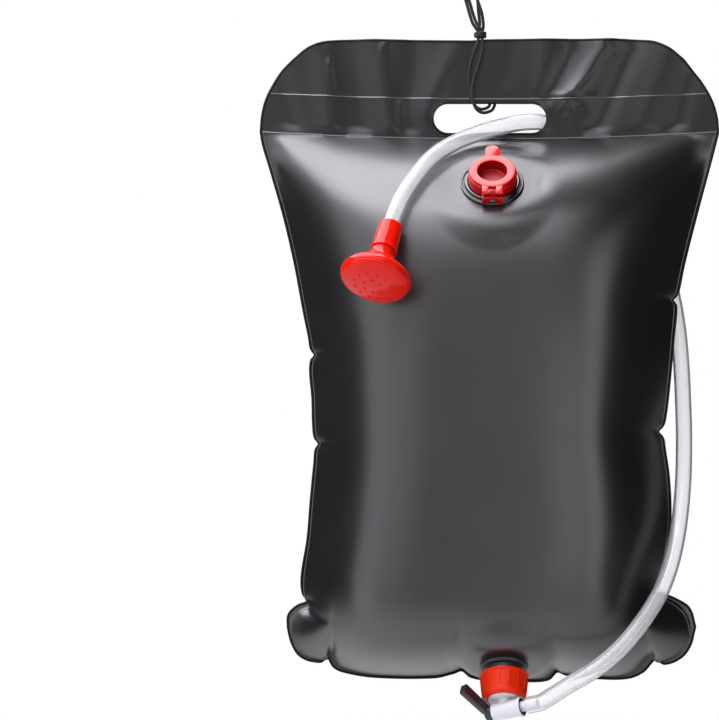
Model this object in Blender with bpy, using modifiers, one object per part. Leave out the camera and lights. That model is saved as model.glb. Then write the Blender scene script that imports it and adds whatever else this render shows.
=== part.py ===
"""Camp shower bag: two welded black PVC sheets that hold about twenty litres of water, a filler with a
hinged cap, a screwed tap with a quarter-turn lever, a clear hose and a shower head on the hose's end.

Metres, +Z up. The filler and the tap are on the front, which faces -Y. The bag hangs by a thin cord, and
the origin is the inner top of the cord's loop, where a hook or a branch carries it.
"""

import math

import bmesh
import bpy
from mathutils import Matrix, Vector

# What every fit and every cut shares
GAP = 0.0003
OVERRUN = 0.004
WELD = 0.00001
TURN = 2 * math.pi

# Bag, as it hangs: down is measured from the top edge, out from the middle
BAG_WIDTH = 0.400
BAG_HEIGHT = 0.5593
BAG_SHEET = 0.0006
BAG_FLANGE = 0.006
BAG_HALF_DEPTH = 0.092
BAG_TOP_RISE = 0.054
BAG_BOTTOM_CLOSE = 0.018
BAG_TAUT_SHARE = 3.0
HANG_DROP = 0.054
BAG_ASIDE = 0.019

# Handle slot, in the header
SLOT_LENGTH = 0.0985
SLOT_HEIGHT = 0.0254
SLOT_DOWN = 0.0687

# Filler, on the front of the bag below the header's weld
FILLER_ACROSS = 0.002
FILLER_DOWN = 0.1303
FILLER_TILT = math.radians(43)
FILLER_SEAT_SHARE = 0.966577
FILLER_FLAT = 0.030
FILLER_BLEND = 0.062
COLLAR_RADIUS = 0.027
COLLAR_PLATE = 0.0014
COLLAR_SLEEVE_WALL = 0.0029
COLLAR_SLEEVE_HEIGHT = 0.003
COLLAR_HOLE = 0.0175
NECK_RADIUS = 0.0208
NECK_HEIGHT = 0.0112
NECK_WALL = 0.0016
NECK_CHAMFER = 0.0008
MOUTH_RADIUS = 0.0146
BLOCK_THICKNESS = 0.0027
BLOCK_HEIGHT = 0.0079
BLOCK_WINDOW_HALF = 0.0026
BLOCK_WINDOW_HEIGHT = 0.0058
CAP_RADIUS = 0.01955
CAP_THICKNESS = 0.0025
CAP_EDGE = 0.0005
CUP_RADIUS = 0.01265
CUP_WALL = 0.0015
CUP_DEPTH = 0.0085
CUP_TAPER = 0.0012
CUP_FLOOR = 0.0014
CUP_RIB_WIDTH = 0.0016
CUP_RIB_HEIGHT = 0.0045
CUP_RIB_SHARE = 0.66
CUP_RIB_TURN = math.radians(33.5)
TAB_WIDTH = 0.0125
TAB_REACH = 0.0127
TAB_THICKNESS = 0.002
LUG_INSIDE = 0.0031
LUG_OUTSIDE = 0.0087
LUG_THICKNESS = 0.002
HINGE_OUT = 0.0235
HINGE_DROP = 0.0027
KNUCKLE_RADIUS = 0.0022
PIN_RADIUS = 0.0011
PIN_CLEARANCE = 0.0002

# Outlet and tap, at the bottom of the front
OUTLET_ACROSS = 0.0119
OUTLET_RISE = 0.0175
OUTLET_DOWN = BAG_HEIGHT - OUTLET_RISE
OUTLET_TILT = math.radians(-58)
OUTLET_SEAT_SHARE = 0.994631
OUTLET_FLAT = 0.028
OUTLET_BLEND = 0.052
SPOUT_FLANGE_RADIUS = 0.0209
SPOUT_FLANGE = 0.0045
SPOUT_RADIUS = 0.0166
SPOUT_BORE = 0.013
SPOUT_LENGTH = 0.0218
GASKET_BORE = 0.010
GASKET_THICKNESS = 0.002
NUT_STANDOFF = 0.011
NUT_RADIUS = 0.0207
NUT_END_RADIUS = 0.0190
NUT_RIBS = 14
NUT_RIB_RISE = 0.0006
NUT_RIB_WIDTH = 0.0016
NUT_LIP = 0.003
NUT_CHAMFER = 0.0012
VALVE_FLANGE = 0.003
VALVE_BOSS_RADIUS = 0.0136
VALVE_PILLAR_RADIUS = 0.0065
VALVE_INLET = 0.004
VALVE_TWIST = math.radians(26.5)
BARREL_DROP = 0.0097
BARREL_RADIUS = 0.0077
BARREL_BACK = 0.0098
BARREL_FRONT = 0.0173
BARREL_BORE = 0.0056
BARREL_BACK_WALL = 0.002
RIM_RADIUS = 0.0084
RIM_LENGTH = 0.0024
RIM_RECESS = 0.0022
RIM_WALL = 0.0018
ROTOR_FRONT = 0.006
ROTOR_BORE = 0.0034
ROTOR_PORT = 0.003
ROTOR_SOLID = 0.0045
STEM_RADIUS = 0.003
RING_WIRE = 0.0005
RING_SEAT = 0.0002
RING_BACK_SPOT = 0.0057
RING_FRONT_SPOT = 0.0045
RING_SIDES = 6
HUB_RADIUS = 0.0066
HUB_LENGTH = 0.0064
HUB_CAP = 0.0015
LEVER_ANGLE = math.radians(70)
LEVER_LEAN = math.radians(15)
LEVER_LENGTH = 0.0355
LEVER_THICKNESS = 0.0055
LEVER_WIDTH = 0.0082
LEVER_END_WIDTH = 0.0096
SEAL_BORE = 0.0049
SPIGOT_START = 0.0074
SPIGOT_RADIUS = 0.0045
SPIGOT_BORE = 0.003
SPIGOT_END = 0.032
BARB_RISE = 0.0004
BARB_LENGTH = 0.004

# Hose, and the shower head that hangs on it in front of the bag
HOSE_RADIUS = 0.0072
HOSE_WALL = 0.0018
HOSE_START = 0.0227
HOSE_STRAIGHT = 0.011
HOSE_POINTS = 40
HEAD_TOP = Vector((-0.0643, -0.0896, -0.2204))
HEAD_AXIS = Vector((-0.205, -0.57, -0.795)).normalized()
SLEEVE_RADIUS = 0.0101
SLEEVE_END_RADIUS = 0.0112
SLEEVE_LENGTH = 0.029
SLEEVE_LIP = 0.0005
SLEEVE_LIP_LENGTH = 0.002
SLEEVE_CHAMFER = 0.0014
SLEEVE_SOCKET = 0.011
SLEEVE_EASE = 0.0003
SLEEVE_WALL = 0.002
SLEEVE_PASSAGE = 0.0035
SLEEVE_SHELL = 0.0018
BELL_NECK = 0.0102
BELL_RADIUS = 0.0298
BELL_LENGTH = 0.030
BELL_SHELL = 0.0022
BELL_BORE = 0.004
SEAL_WIRE = 0.0007
ROSE_EDGE = 0.0006
ROSE_HEIGHT = 0.0072
ROSE_SHELL = 0.0018
ROSE_SKIRT = 0.002
ROSE_JETS = ((6, 0.0080), (12, 0.0160))
JET_RADIUS = 0.00075

# Hanging cord and its knot
CORD_RADIUS = 0.0014
CORD_POINTS = 112
KNOT_CENTRE = Vector((0.0104, 0.0, -0.0496))
KNOT_RADIUS = 0.0057
KNOT_BORE = 0.0042
KNOT_HEIGHT = 0.0058
KNOT_ROUND = 0.0014

# Start and end of a ring's round section, of six sides, as shares of a turn
RING_ARC_SHARES = (5 / 6, 0.0)

# Facets of round pieces, and points on each stretch of a route
STEPS = 28
FINE_STEPS = 36
SMALL_STEPS = 16
LINE_STEPS = 12

# Left and right edges below the weld: share of the height, share of the half width
LEFT_EDGE_SHARES = (
    (0.144, 1.002), (0.163, 0.993), (0.200, 0.962), (0.275, 0.902), (0.350, 0.853), (0.425, 0.814),
    (0.465, 0.791), (0.493, 0.766), (0.519, 0.783), (0.560, 0.776), (0.600, 0.772), (0.632, 0.749),
    (0.660, 0.763), (0.720, 0.783), (0.780, 0.797), (0.840, 0.823), (0.864, 0.818), (0.878, 0.793),
    (0.888, 0.845), (0.899, 0.880), (0.918, 0.884),
)
RIGHT_EDGE_SHARES = (
    (0.144, 0.998), (0.163, 0.985), (0.200, 0.958), (0.275, 0.902), (0.350, 0.849), (0.390, 0.826),
    (0.407, 0.799), (0.424, 0.810), (0.465, 0.803), (0.535, 0.785), (0.585, 0.768), (0.613, 0.736),
    (0.636, 0.760), (0.690, 0.783), (0.750, 0.788), (0.810, 0.768), (0.848, 0.728), (0.862, 0.722),
    (0.873, 0.800), (0.888, 0.868), (0.918, 0.897),
)
# Bottom seam between the two ears: share of the half width, share of the height
BOTTOM_SHARES = (
    (-0.884, 0.918), (-0.872, 0.938), (-0.845, 0.958), (-0.810, 0.968), (-0.770, 0.972), (-0.735, 0.972),
    (-0.713, 0.964), (-0.685, 0.980), (-0.640, 0.988), (-0.508, 0.996), (-0.245, 0.997), (-0.158, 0.990),
    (-0.122, 0.986), (-0.085, 0.996), (0.000, 1.001), (0.175, 1.003), (0.258, 1.000), (0.293, 0.988),
    (0.335, 0.993), (0.460, 0.998), (0.600, 0.998), (0.670, 0.988), (0.725, 0.968), (0.762, 0.976),
    (0.835, 0.966), (0.877, 0.946), (0.897, 0.918),
)
# Top edge between the two shoulders, and the header's sides below them
TOP_SHARES = (
    (-0.858, 0.031), (-0.790, 0.012), (-0.700, 0.003), (-0.480, 0.001), (-0.100, 0.003), (0.000, 0.001),
    (0.300, 0.000), (0.690, 0.002), (0.775, 0.012), (0.845, 0.031),
)
LEFT_SHOULDER_SHARES = (
    (0.031, 0.858), (0.050, 0.910), (0.069, 0.945), (0.094, 0.979), (0.119, 0.996), (0.144, 1.002),
)
RIGHT_SHOULDER_SHARES = (
    (0.031, 0.845), (0.050, 0.888), (0.069, 0.928), (0.094, 0.968), (0.119, 0.990), (0.144, 0.998),
)
WELD_MIDDLE_SHARE = 0.155
# How much of the way to its edge the chamber bulges, inside its welded rim
FLAT_SHARE = 0.98
# How soon the shape of the top or the bottom edge dies out inside the sheet
EDGE_HOLD = 16
# How a place on the chamber is closed in on
SEARCH_STEPS = 60
SEARCH_SHARE = 0.3

# Where the grid of each sheet has its lines, as shares of the way across and of the way down
COLUMN_SHARES = (0.0, 0.16, 0.32, 0.47, 0.60, 0.72, 0.82, 0.90, 0.955, 0.98, 1.0)
HEADER_ROW_SHARES = (0.0, 0.25, 0.5, 0.75)
ROW_SHARES = (
    0.0, 0.02, 0.05, 0.09, 0.135, 0.19, 0.25, 0.31, 0.345, 0.38, 0.415, 0.45, 0.49, 0.53, 0.565, 0.60,
    0.63, 0.67, 0.72, 0.77, 0.82, 0.86, 0.895, 0.925, 0.947, 0.966, 0.98, 0.989, 0.9955, 1.0,
)

# Shower head: out as a share of the rim's radius less the neck's, and down as a share of the bell's length
BELL_SHARES = (
    (0.00, 0.000), (0.015, 0.130), (0.075, 0.280), (0.200, 0.420), (0.420, 0.550), (0.700, 0.665),
    (0.905, 0.780), (1.00, 0.900), (0.990, 0.985), (0.960, 1.000),
)
# How high the hollow of the rose is halfway out, as a share of its middle
ROSE_HOLLOW_SHARE = 0.85
# Face of the rose: share of its radius, share of its height
ROSE_SHARES = ((1.0, 0.0), (0.985, 0.16), (0.93, 0.37), (0.80, 0.66), (0.58, 0.87), (0.30, 0.97), (0.0, 1.0))

# The hose between the tap and the shower head, round the bag's right side and through the handle slot
HOSE_ROUTE = (
    (0.0845, -0.0925, -0.6076), (0.1073, -0.0895, -0.5945), (0.1287, -0.0820, -0.5776),
    (0.1480, -0.0700, -0.5565), (0.1643, -0.0540, -0.5333), (0.1754, -0.0360, -0.5081),
    (0.1831, -0.0180, -0.4774), (0.1876, -0.0050, -0.4415), (0.1892, 0.0050, -0.4043),
    (0.1889, 0.0130, -0.3693), (0.1877, 0.0210, -0.3341), (0.1849, 0.0310, -0.3004),
    (0.1791, 0.0430, -0.2672), (0.1659, 0.0540, -0.2311), (0.1456, 0.0600, -0.1949),
    (0.1212, 0.0560, -0.1637), (0.0964, 0.0390, -0.1418), (0.0773, 0.0200, -0.1293),
    (0.0638, 0.0086, -0.1253), (0.0457, 0.0002, -0.1265), (0.0277, -0.0087, -0.1309),
    (0.0146, -0.0133, -0.1350), (0.0016, -0.0204, -0.1402), (-0.0095, -0.0290, -0.1455),
    (-0.0189, -0.0368, -0.1513), (-0.0282, -0.0466, -0.1585), (-0.0366, -0.0555, -0.1676),
    (-0.0446, -0.0652, -0.1788), (-0.0506, -0.0718, -0.1885), (-0.0566, -0.0779, -0.1995),
)

# The cord: up from the knot, over the hook, down behind the header, through the slot and up, twice round
CORD_ROUTE = (
    (0.0088, -0.0016, -0.0497), (0.0086, -0.0016, -0.0467), (0.0064, -0.0018, -0.0435),
    (0.0036, -0.0019, -0.0390), (0.0009, -0.0019, -0.0306), (-0.0018, -0.0018, -0.0210),
    (-0.0044, -0.0016, -0.0122), (-0.0056, -0.0015, -0.0046), (-0.0039, -0.0015, -0.0005),
    (0.0002, -0.0016, 0.0014), (0.0043, -0.0015, -0.0005), (0.0060, -0.0015, -0.0046),
    (0.0069, -0.0015, -0.0122), (0.0084, -0.0014, -0.0201), (0.0115, -0.0003, -0.0295),
    (0.0130, 0.0007, -0.0382), (0.0130, 0.0014, -0.0436), (0.0120, 0.0016, -0.0467),
    (0.0120, 0.0017, -0.0522), (0.0126, 0.0029, -0.0552), (0.0146, 0.0032, -0.0624),
    (0.0172, 0.0038, -0.0728), (0.0203, 0.0045, -0.0868), (0.0225, 0.0048, -0.0990),
    (0.0234, 0.0044, -0.1074), (0.0216, 0.0026, -0.1142), (0.0172, 0.0004, -0.1170),
    (0.0124, -0.0024, -0.1178), (0.0079, -0.0049, -0.1156), (0.0049, -0.0060, -0.1106),
    (0.0035, -0.0061, -0.1036), (0.0033, -0.0060, -0.0966), (0.0049, -0.0054, -0.0889),
    (0.0079, -0.0044, -0.0792), (0.0111, -0.0034, -0.0684), (0.0124, -0.0030, -0.0605),
    (0.0124, -0.0029, -0.0556), (0.0120, -0.0017, -0.0522), (0.0120, -0.0016, -0.0467),
    (0.0099, -0.0017, -0.0435), (0.0069, -0.0015, -0.0388), (0.0039, -0.0005, -0.0304),
    (0.0011, 0.0007, -0.0206), (-0.0020, 0.0014, -0.0127), (-0.0056, 0.0016, -0.0041),
    (-0.0039, 0.0016, -0.0001), (0.0002, 0.0016, 0.0016), (0.0043, 0.0016, -0.0001),
    (0.0059, 0.0016, -0.0041), (0.0070, 0.0016, -0.0118), (0.0082, 0.0018, -0.0196),
    (0.0089, 0.0019, -0.0292), (0.0099, 0.0020, -0.0380), (0.0096, 0.0018, -0.0436),
    (0.0088, 0.0016, -0.0467), (0.0088, 0.0017, -0.0522), (0.0091, 0.0029, -0.0552),
    (0.0107, 0.0030, -0.0624), (0.0129, 0.0030, -0.0729), (0.0153, 0.0030, -0.0870),
    (0.0174, 0.0030, -0.0992), (0.0188, 0.0029, -0.1062), (0.0186, 0.0023, -0.1110),
    (0.0162, 0.0009, -0.1134), (0.0123, -0.0007, -0.1146), (0.0085, -0.0021, -0.1139),
    (0.0053, -0.0028, -0.1108), (0.0023, -0.0029, -0.1047), (0.0008, -0.0029, -0.0963),
    (0.0005, -0.0029, -0.0867), (0.0015, -0.0029, -0.0771), (0.0041, -0.0028, -0.0675),
    (0.0071, -0.0029, -0.0596), (0.0086, -0.0027, -0.0550), (0.0088, -0.0017, -0.0516),
)

# Colours: red, green, blue, then roughness
BLACK_PVC = (0.030, 0.029, 0.033, 0.32)
DARK_PVC = (0.020, 0.014, 0.016, 0.12)
RED = (0.700, 0.020, 0.010, 0.25)
MILKY = (0.620, 0.630, 0.660, 0.35)
CLEAR = (0.800, 0.820, 0.830, 0.08)
BLACK = (0.020, 0.020, 0.020, 0.40)
RUBBER = (0.030, 0.030, 0.030, 0.70)
STEEL = (0.550, 0.550, 0.560, 0.30)
CORD_BLACK = (0.015, 0.015, 0.017, 0.85)


for old in list(bpy.data.objects):
    bpy.data.objects.remove(old, do_unlink=True)

parts = bpy.data.collections.new("camp_shower_bag")
cutters = bpy.data.collections.new("cutters")
bpy.context.scene.collection.children.link(parts)
bpy.context.scene.collection.children.link(cutters)


def material(name, colour, metallic=0.0):
    """One material for one piece: colour holds red, green, blue and the roughness."""
    made = bpy.data.materials.new(name)
    made.use_nodes = True
    shader = made.node_tree.nodes["Principled BSDF"]
    shader.inputs["Base Color"].default_value = (*colour[:3], 1.0)
    shader.inputs["Roughness"].default_value = colour[3]
    shader.inputs["Metallic"].default_value = metallic
    return made


def frame(name, place, axis, across, parent=None):
    """An empty whose local Z is the axis and whose local X is as near to across as it can be."""
    empty = bpy.data.objects.new(name, None)
    empty.empty_display_size = OVERRUN
    parts.objects.link(empty)
    z = Vector(axis).normalized()
    y = z.cross(Vector(across)).normalized()
    x = y.cross(z)
    turn = Matrix((x, y, z)).transposed().to_4x4()
    empty.parent = parent
    empty.matrix_basis = Matrix.Translation(place) @ turn
    return empty


def world_of(empty):
    """Where an empty stands in the world, from its own place and its parents'."""
    place = empty.matrix_basis.copy()
    if empty.parent:
        place = world_of(empty.parent) @ place
    return place


def place_part(name, data, parent, colour, metallic=0.0):
    """Puts a mesh or a curve in the bag's collection under its frame, or among the cutters."""
    made = bpy.data.objects.new(name, data)
    made.parent = parent
    if colour:
        data.materials.append(material(name, colour, metallic))
        parts.objects.link(made)
    else:
        made.hide_render = True
        made.display_type = "WIRE"
        cutters.objects.link(made)
    return made


def settle(made):
    """Swaps an object's modifiers or its curve for the mesh they give, welded, its round faces smooth."""
    bpy.context.view_layer.update()
    seen = made.evaluated_get(bpy.context.evaluated_depsgraph_get())
    mesh = bpy.data.meshes.new_from_object(seen)
    work = bmesh.new()
    work.from_mesh(mesh)
    bmesh.ops.remove_doubles(work, verts=work.verts, dist=WELD)
    bmesh.ops.recalc_face_normals(work, faces=work.faces)
    work.to_mesh(mesh)
    work.free()
    mesh.shade_smooth()
    mesh.set_sharp_from_angle(angle=math.radians(35))
    if made.type == "MESH":
        made.modifiers.clear()
        made.data = mesh
        return made
    solid = bpy.data.objects.new(made.name, mesh)
    solid.parent = made.parent
    solid.matrix_basis = made.matrix_basis
    solid.hide_render = made.hide_render
    solid.display_type = made.display_type
    for group in made.users_collection:
        group.objects.link(solid)
    name = made.name
    bpy.data.objects.remove(made, do_unlink=True)
    solid.name = name
    return solid


def turned(name, profile, parent, colour=None, steps=STEPS, metallic=0.0):
    """A turned piece: (radius, height) points down the outer side and up the inner one, or pole to pole."""
    mesh = bpy.data.meshes.new(name)
    count = len(profile)
    solid = profile[0][0] == 0.0
    edges = [(i, i + 1) for i in range(count - 1)]
    if not solid:
        edges.append((count - 1, 0))
    mesh.from_pydata([(radius, 0.0, height) for radius, height in profile], edges, [])
    made = place_part(name, mesh, parent, colour, metallic)
    screw = made.modifiers.new("turn", "SCREW")
    screw.axis = "Z"
    screw.angle = TURN
    screw.steps = steps
    screw.render_steps = steps
    screw.use_merge_vertices = True
    screw.merge_threshold = WELD
    return settle(made)


def rod(name, radius, low, high, parent, colour=None, steps=STEPS, metallic=0.0):
    """A plain round rod from one height to another on its frame's axis."""
    profile = ((0.0, high), (radius, high), (radius, low), (0.0, low))
    return turned(name, profile, parent, colour, steps, metallic)


def slab(name, outline, half, parent, colour=None):
    """A flat piece: an outline in its local XY plane, filled and extruded half its thickness each way."""
    curve = bpy.data.curves.new(name, "CURVE")
    curve.dimensions = "2D"
    curve.fill_mode = "BOTH"
    curve.extrude = half
    line = curve.splines.new("POLY")
    line.points.add(len(outline) - 1)
    for point, (x, y) in zip(line.points, outline):
        point.co = (x, y, 0.0, 1.0)
    line.use_cyclic_u = True
    return settle(place_part(name, curve, parent, colour))


def block(name, low, high, parent, colour=None):
    """A plain box between two corners."""
    mesh = bpy.data.meshes.new(name)
    work = bmesh.new()
    bmesh.ops.create_cube(work, size=1.0)
    low, high = Vector(low), Vector(high)
    size = high - low
    for corner in work.verts:
        corner.co = (low + high) / 2 + Vector(c * s for c, s in zip(corner.co, size))
    work.to_mesh(mesh)
    work.free()
    return place_part(name, mesh, parent, colour)


def arc(x, y, radius, start, end, count):
    """Points along an arc, angles in shares of a turn."""
    found = []
    for i in range(count + 1):
        angle = TURN * (start + (end - start) * i / count)
        found.append((x + radius * math.cos(angle), y + radius * math.sin(angle)))
    return found


def shape(made, other, operation):
    """Cuts or joins one piece with another one that is left out of the model."""
    step = made.modifiers.new(other.name, "BOOLEAN")
    step.operation = operation
    step.solver = "EXACT"
    step.object = other


def cut(made, *others):
    for other in others:
        shape(made, other, "DIFFERENCE")


def join(made, *others):
    for other in others:
        shape(made, other, "UNION")


def read_shares(table, key):
    """Reads a table of (key, value) shares on a smooth line through its points."""
    keys = [row[0] for row in table]
    key = min(max(key, keys[0]), keys[-1])
    i = max(j for j in range(len(table) - 1) if keys[j] <= key or j == 0)
    slopes = []
    for j in (i, i + 1):
        before, after = table[max(j - 1, 0)], table[min(j + 1, len(table) - 1)]
        slopes.append((after[1] - before[1]) / (after[0] - before[0]))
    span = keys[i + 1] - keys[i]
    t = (key - keys[i]) / span
    start, end = table[i][1], table[i + 1][1]
    bend = t * t * (3 - 2 * t)
    return (
        start + (end - start) * bend
        + span * (slopes[0] * t * (1 - t) * (1 - t) - slopes[1] * t * t * (1 - t))
    )


def smooth_line(points):
    """Many points along a smooth curve through the points of a route."""
    points = [Vector(p) for p in points]
    ends = [2 * points[0] - points[1], *points, 2 * points[-1] - points[-2]]
    line = []
    for a, b, c, d in zip(ends, ends[1:], ends[2:], ends[3:]):
        for k in range(LINE_STEPS):
            t = k / LINE_STEPS
            bend = (2 * a - 5 * b + 4 * c - d) * t * t + (3 * b - a - 3 * c + d) * t * t * t
            line.append((2 * b + (c - a) * t + bend) / 2)
    line.append(points[-1])
    return line


def spaced(points, count):
    """The same line with its points at even steps along it."""
    reach = [0.0]
    for before, after in zip(points, points[1:]):
        reach.append(reach[-1] + (after - before).length)
    found = []
    i = 0
    for k in range(count):
        want = reach[-1] * k / (count - 1)
        while i < len(points) - 2 and reach[i + 1] < want:
            i += 1
        share = (want - reach[i]) / (reach[i + 1] - reach[i])
        found.append(points[i].lerp(points[i + 1], min(share, 1.0)))
    return found


def tube(name, points, radius, sides, colour, wall=0.0):
    """A round cord or hose along its points, solid or with a wall."""
    curve = bpy.data.curves.new(name, "CURVE")
    curve.dimensions = "3D"
    curve.bevel_depth = radius
    curve.bevel_resolution = sides
    curve.use_fill_caps = wall == 0.0
    line = curve.splines.new("POLY")
    line.points.add(len(points) - 1)
    for point, place in zip(line.points, points):
        point.co = (*place, 1.0)
    made = place_part(name, curve, None, colour)
    if wall:
        shell = made.modifiers.new("wall", "SOLIDIFY")
        shell.thickness = wall
        shell.offset = -1.0
        shell.use_even_offset = True
    return settle(made)


# The bag's outline and its bulge

HALF_WIDTH = BAG_WIDTH / 2


def weld_down(x):
    """How far down the header's lower weld is: it sags a little in the middle."""
    edge = LEFT_EDGE_SHARES[0][0]
    out = min(abs(x) / HALF_WIDTH, 1.0)
    return BAG_HEIGHT * (WELD_MIDDLE_SHARE + (edge - WELD_MIDDLE_SHARE) * out * out)


def side_row(table, share):
    """A point on a side between the ends of its table, as (out share, down share)."""
    down = table[0][0] + (table[-1][0] - table[0][0]) * share
    return read_shares(table, down), down


def end_row(table, share):
    """A point on the top or bottom edge between the ends of its table, as (out share, down share)."""
    out = table[0][0] + (table[-1][0] - table[0][0]) * share
    return out, read_shares(table, out)


def weld_row(share):
    """A point on the weld between the header and the chamber."""
    start, end = -LEFT_EDGE_SHARES[0][1], RIGHT_EDGE_SHARES[0][1]
    out = start + (end - start) * share
    return out, weld_down(out * HALF_WIDTH) / BAG_HEIGHT


def patch(top, bottom, left, right, across, down):
    """A place inside four edges, each read at its own share, as (x, down) in metres."""
    found = []
    for k in (0, 1):
        place = (1 - across) * left(down)[k] + across * right(down)[k]
        for edge, weight in ((top, (1 - down) ** EDGE_HOLD), (bottom, down ** EDGE_HOLD)):
            straight = (1 - across) * edge(0.0)[k] + across * edge(1.0)[k]
            place += weight * (edge(across)[k] - straight)
        found.append(place)
    return found[0] * HALF_WIDTH, found[1] * BAG_HEIGHT


def header_place(across, down):
    return patch(
        lambda s: end_row(TOP_SHARES, s),
        weld_row,
        lambda s: (-side_row(LEFT_SHOULDER_SHARES, s)[0], side_row(LEFT_SHOULDER_SHARES, s)[1]),
        lambda s: side_row(RIGHT_SHOULDER_SHARES, s),
        across,
        down,
    )


def chamber_place(across, down):
    return patch(
        weld_row,
        lambda s: end_row(BOTTOM_SHARES, s),
        lambda s: (-side_row(LEFT_EDGE_SHARES, s)[0], side_row(LEFT_EDGE_SHARES, s)[1]),
        lambda s: side_row(RIGHT_EDGE_SHARES, s),
        across,
        down,
    )


def bulge(across, x, down):
    """How far the filled sheet stands off the seam's plane, at a share across and a place on the bag."""
    aside = min(abs(2 * across - 1) / FLAT_SHARE, 1.0)
    below = max(down - weld_down(x), 0.0)
    above = max(BAG_HEIGHT * read_shares(BOTTOM_SHARES, x / HALF_WIDTH) - BAG_FLANGE - down, 0.0)
    edge = math.cosh(BAG_TAUT_SHARE)
    section = (edge - math.cosh(BAG_TAUT_SHARE * aside)) / (edge - 1.0)
    top = 1.0 - math.exp(-below / BAG_TOP_RISE)
    bottom = 1.0 - math.exp(-above / BAG_BOTTOM_CLOSE)
    slack = (1.0 - section * top * bottom) ** 2
    return BAG_HALF_DEPTH * (1.0 - slack) / (1.0 + slack)


def share_across(x, down):
    """The share across the chamber of a place on it, found by closing in on it."""
    across, below = 0.5, 0.5
    for _ in range(SEARCH_STEPS):
        near = chamber_place(across, below)
        across += (x - near[0]) / BAG_WIDTH * SEARCH_SHARE
        below += (down - near[1]) / BAG_HEIGHT * SEARCH_SHARE
    return across


def seat(point, mount, flat, blend):
    """Draws the sheet's inner face flat where a fitting is welded on, and lets it go again further out."""
    local = mount.inverted() @ point
    out = math.hypot(local.x, local.y)
    hold = 1.0 - min(max((out - flat) / (blend - flat), 0.0), 1.0)
    hold = hold * hold * (3 - 2 * hold)
    local.z += (-BAG_SHEET - local.z) * hold
    return mount @ local


bag = frame("bag_frame", (BAG_ASIDE, 0.0, -HANG_DROP), (0, 0, 1), (1, 0, 0))


def fitting_frame(name, across, down, tilt, seat_share):
    """A frame on the outer face of the front sheet, its Z out of the bag and tilted up or down."""
    out = GAP / 2 + seat_share * bulge(share_across(across, down), across, down) + BAG_SHEET
    axis = (0.0, -math.cos(tilt), math.sin(tilt))
    return frame(name, (across, -out, -down), axis, (1, 0, 0), bag)


filler = fitting_frame("filler_frame", FILLER_ACROSS, FILLER_DOWN, FILLER_TILT, FILLER_SEAT_SHARE)
outlet = fitting_frame("outlet_frame", OUTLET_ACROSS, OUTLET_DOWN, OUTLET_TILT, OUTLET_SEAT_SHARE)


def panel(name, side):
    """One sheet of the bag: flat round the edge and in the header, and bulged by the water between."""
    mesh = bpy.data.meshes.new(name)
    work = bmesh.new()
    shares = [0.5 - s / 2 for s in reversed(COLUMN_SHARES)] + [0.5 + s / 2 for s in COLUMN_SHARES[1:]]
    rows = [[(a, *header_place(a, d)) for a in shares] for d in HEADER_ROW_SHARES]
    rows += [[(a, *chamber_place(a, d)) for a in shares] for d in ROW_SHARES]
    grid = []
    for row in rows:
        line = []
        for across, x, down in row:
            out = bulge(across, x, down)
            point = Vector((x, side * (GAP / 2 + out), -down))
            if side < 0 and out:
                point = seat(point, filler.matrix_basis, FILLER_FLAT, FILLER_BLEND)
                point = seat(point, outlet.matrix_basis, OUTLET_FLAT, OUTLET_BLEND)
                point.y = min(point.y, -GAP / 2)
            line.append(work.verts.new(point))
        grid.append(line)
    for above, below in zip(grid, grid[1:]):
        for j in range(len(above) - 1):
            corners = [above[j], above[j + 1], below[j + 1], below[j]]
            work.faces.new(corners if side > 0 else corners[::-1])
    work.to_mesh(mesh)
    work.free()
    mesh.shade_smooth()
    made = place_part(name, mesh, bag, BLACK_PVC)
    shell = made.modifiers.new("sheet", "SOLIDIFY")
    shell.thickness = BAG_SHEET
    shell.offset = 1.0
    shell.use_even_offset = True
    return made


def slot_cutter():
    """The handle slot with its round ends, through both sheets."""
    upright = frame("slot_frame", (0.0, 0.0, -SLOT_DOWN), (0, -1, 0), (1, 0, 0), bag)
    radius = SLOT_HEIGHT / 2
    straight = SLOT_LENGTH / 2 - radius
    outline = arc(straight, 0.0, radius, -0.25, 0.25, 8) + arc(-straight, 0.0, radius, 0.25, 0.75, 8)
    return slab("slot_cutter", outline, OVERRUN, upright)


slot = slot_cutter()
front_panel = panel("front_panel", -1)
back_panel = panel("back_panel", 1)
filler_hole = rod("filler_hole", COLLAR_HOLE, -OVERRUN, OVERRUN, filler)
outlet_hole = rod("outlet_hole", SPOUT_BORE, -OVERRUN, OVERRUN, outlet)
cut(front_panel, slot, filler_hole, outlet_hole)
cut(back_panel, slot)


# Filler

def filler_collar():
    """Glossy soft PVC: a flat flange welded on the sheet and a short sleeve that grips the neck."""
    inner = NECK_RADIUS + GAP
    outer = inner + COLLAR_SLEEVE_WALL
    low, plate = GAP, GAP + COLLAR_PLATE
    top = plate + COLLAR_SLEEVE_HEIGHT
    soft = COLLAR_PLATE / 2
    profile = (
        (outer - soft, top), (outer, top - soft), (outer, plate),
        (COLLAR_RADIUS - soft, plate), (COLLAR_RADIUS, low + soft), (COLLAR_RADIUS, low), (COLLAR_HOLE, low),
        (COLLAR_HOLE, plate), (inner, plate), (inner, top),
    )
    return turned("filler_collar", profile, filler, DARK_PVC, FINE_STEPS)


NECK_LOW = GAP + COLLAR_PLATE + GAP
NECK_TOP = NECK_LOW + NECK_HEIGHT
CAP_LOW = NECK_TOP + GAP
CAP_TOP = CAP_LOW + CAP_THICKNESS
HINGE_HEIGHT = CAP_TOP - HINGE_DROP


def side_slab(name, outline, x_low, x_high, parent, colour=None):
    """A flat piece whose outline is given in its frame's YZ plane, between two places along X."""
    stand = frame(name + "_side", ((x_low + x_high) / 2, 0.0, 0.0), (1, 0, 0), (0, 1, 0), parent)
    return slab(name, outline, (x_high - x_low) / 2, stand, colour)


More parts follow.
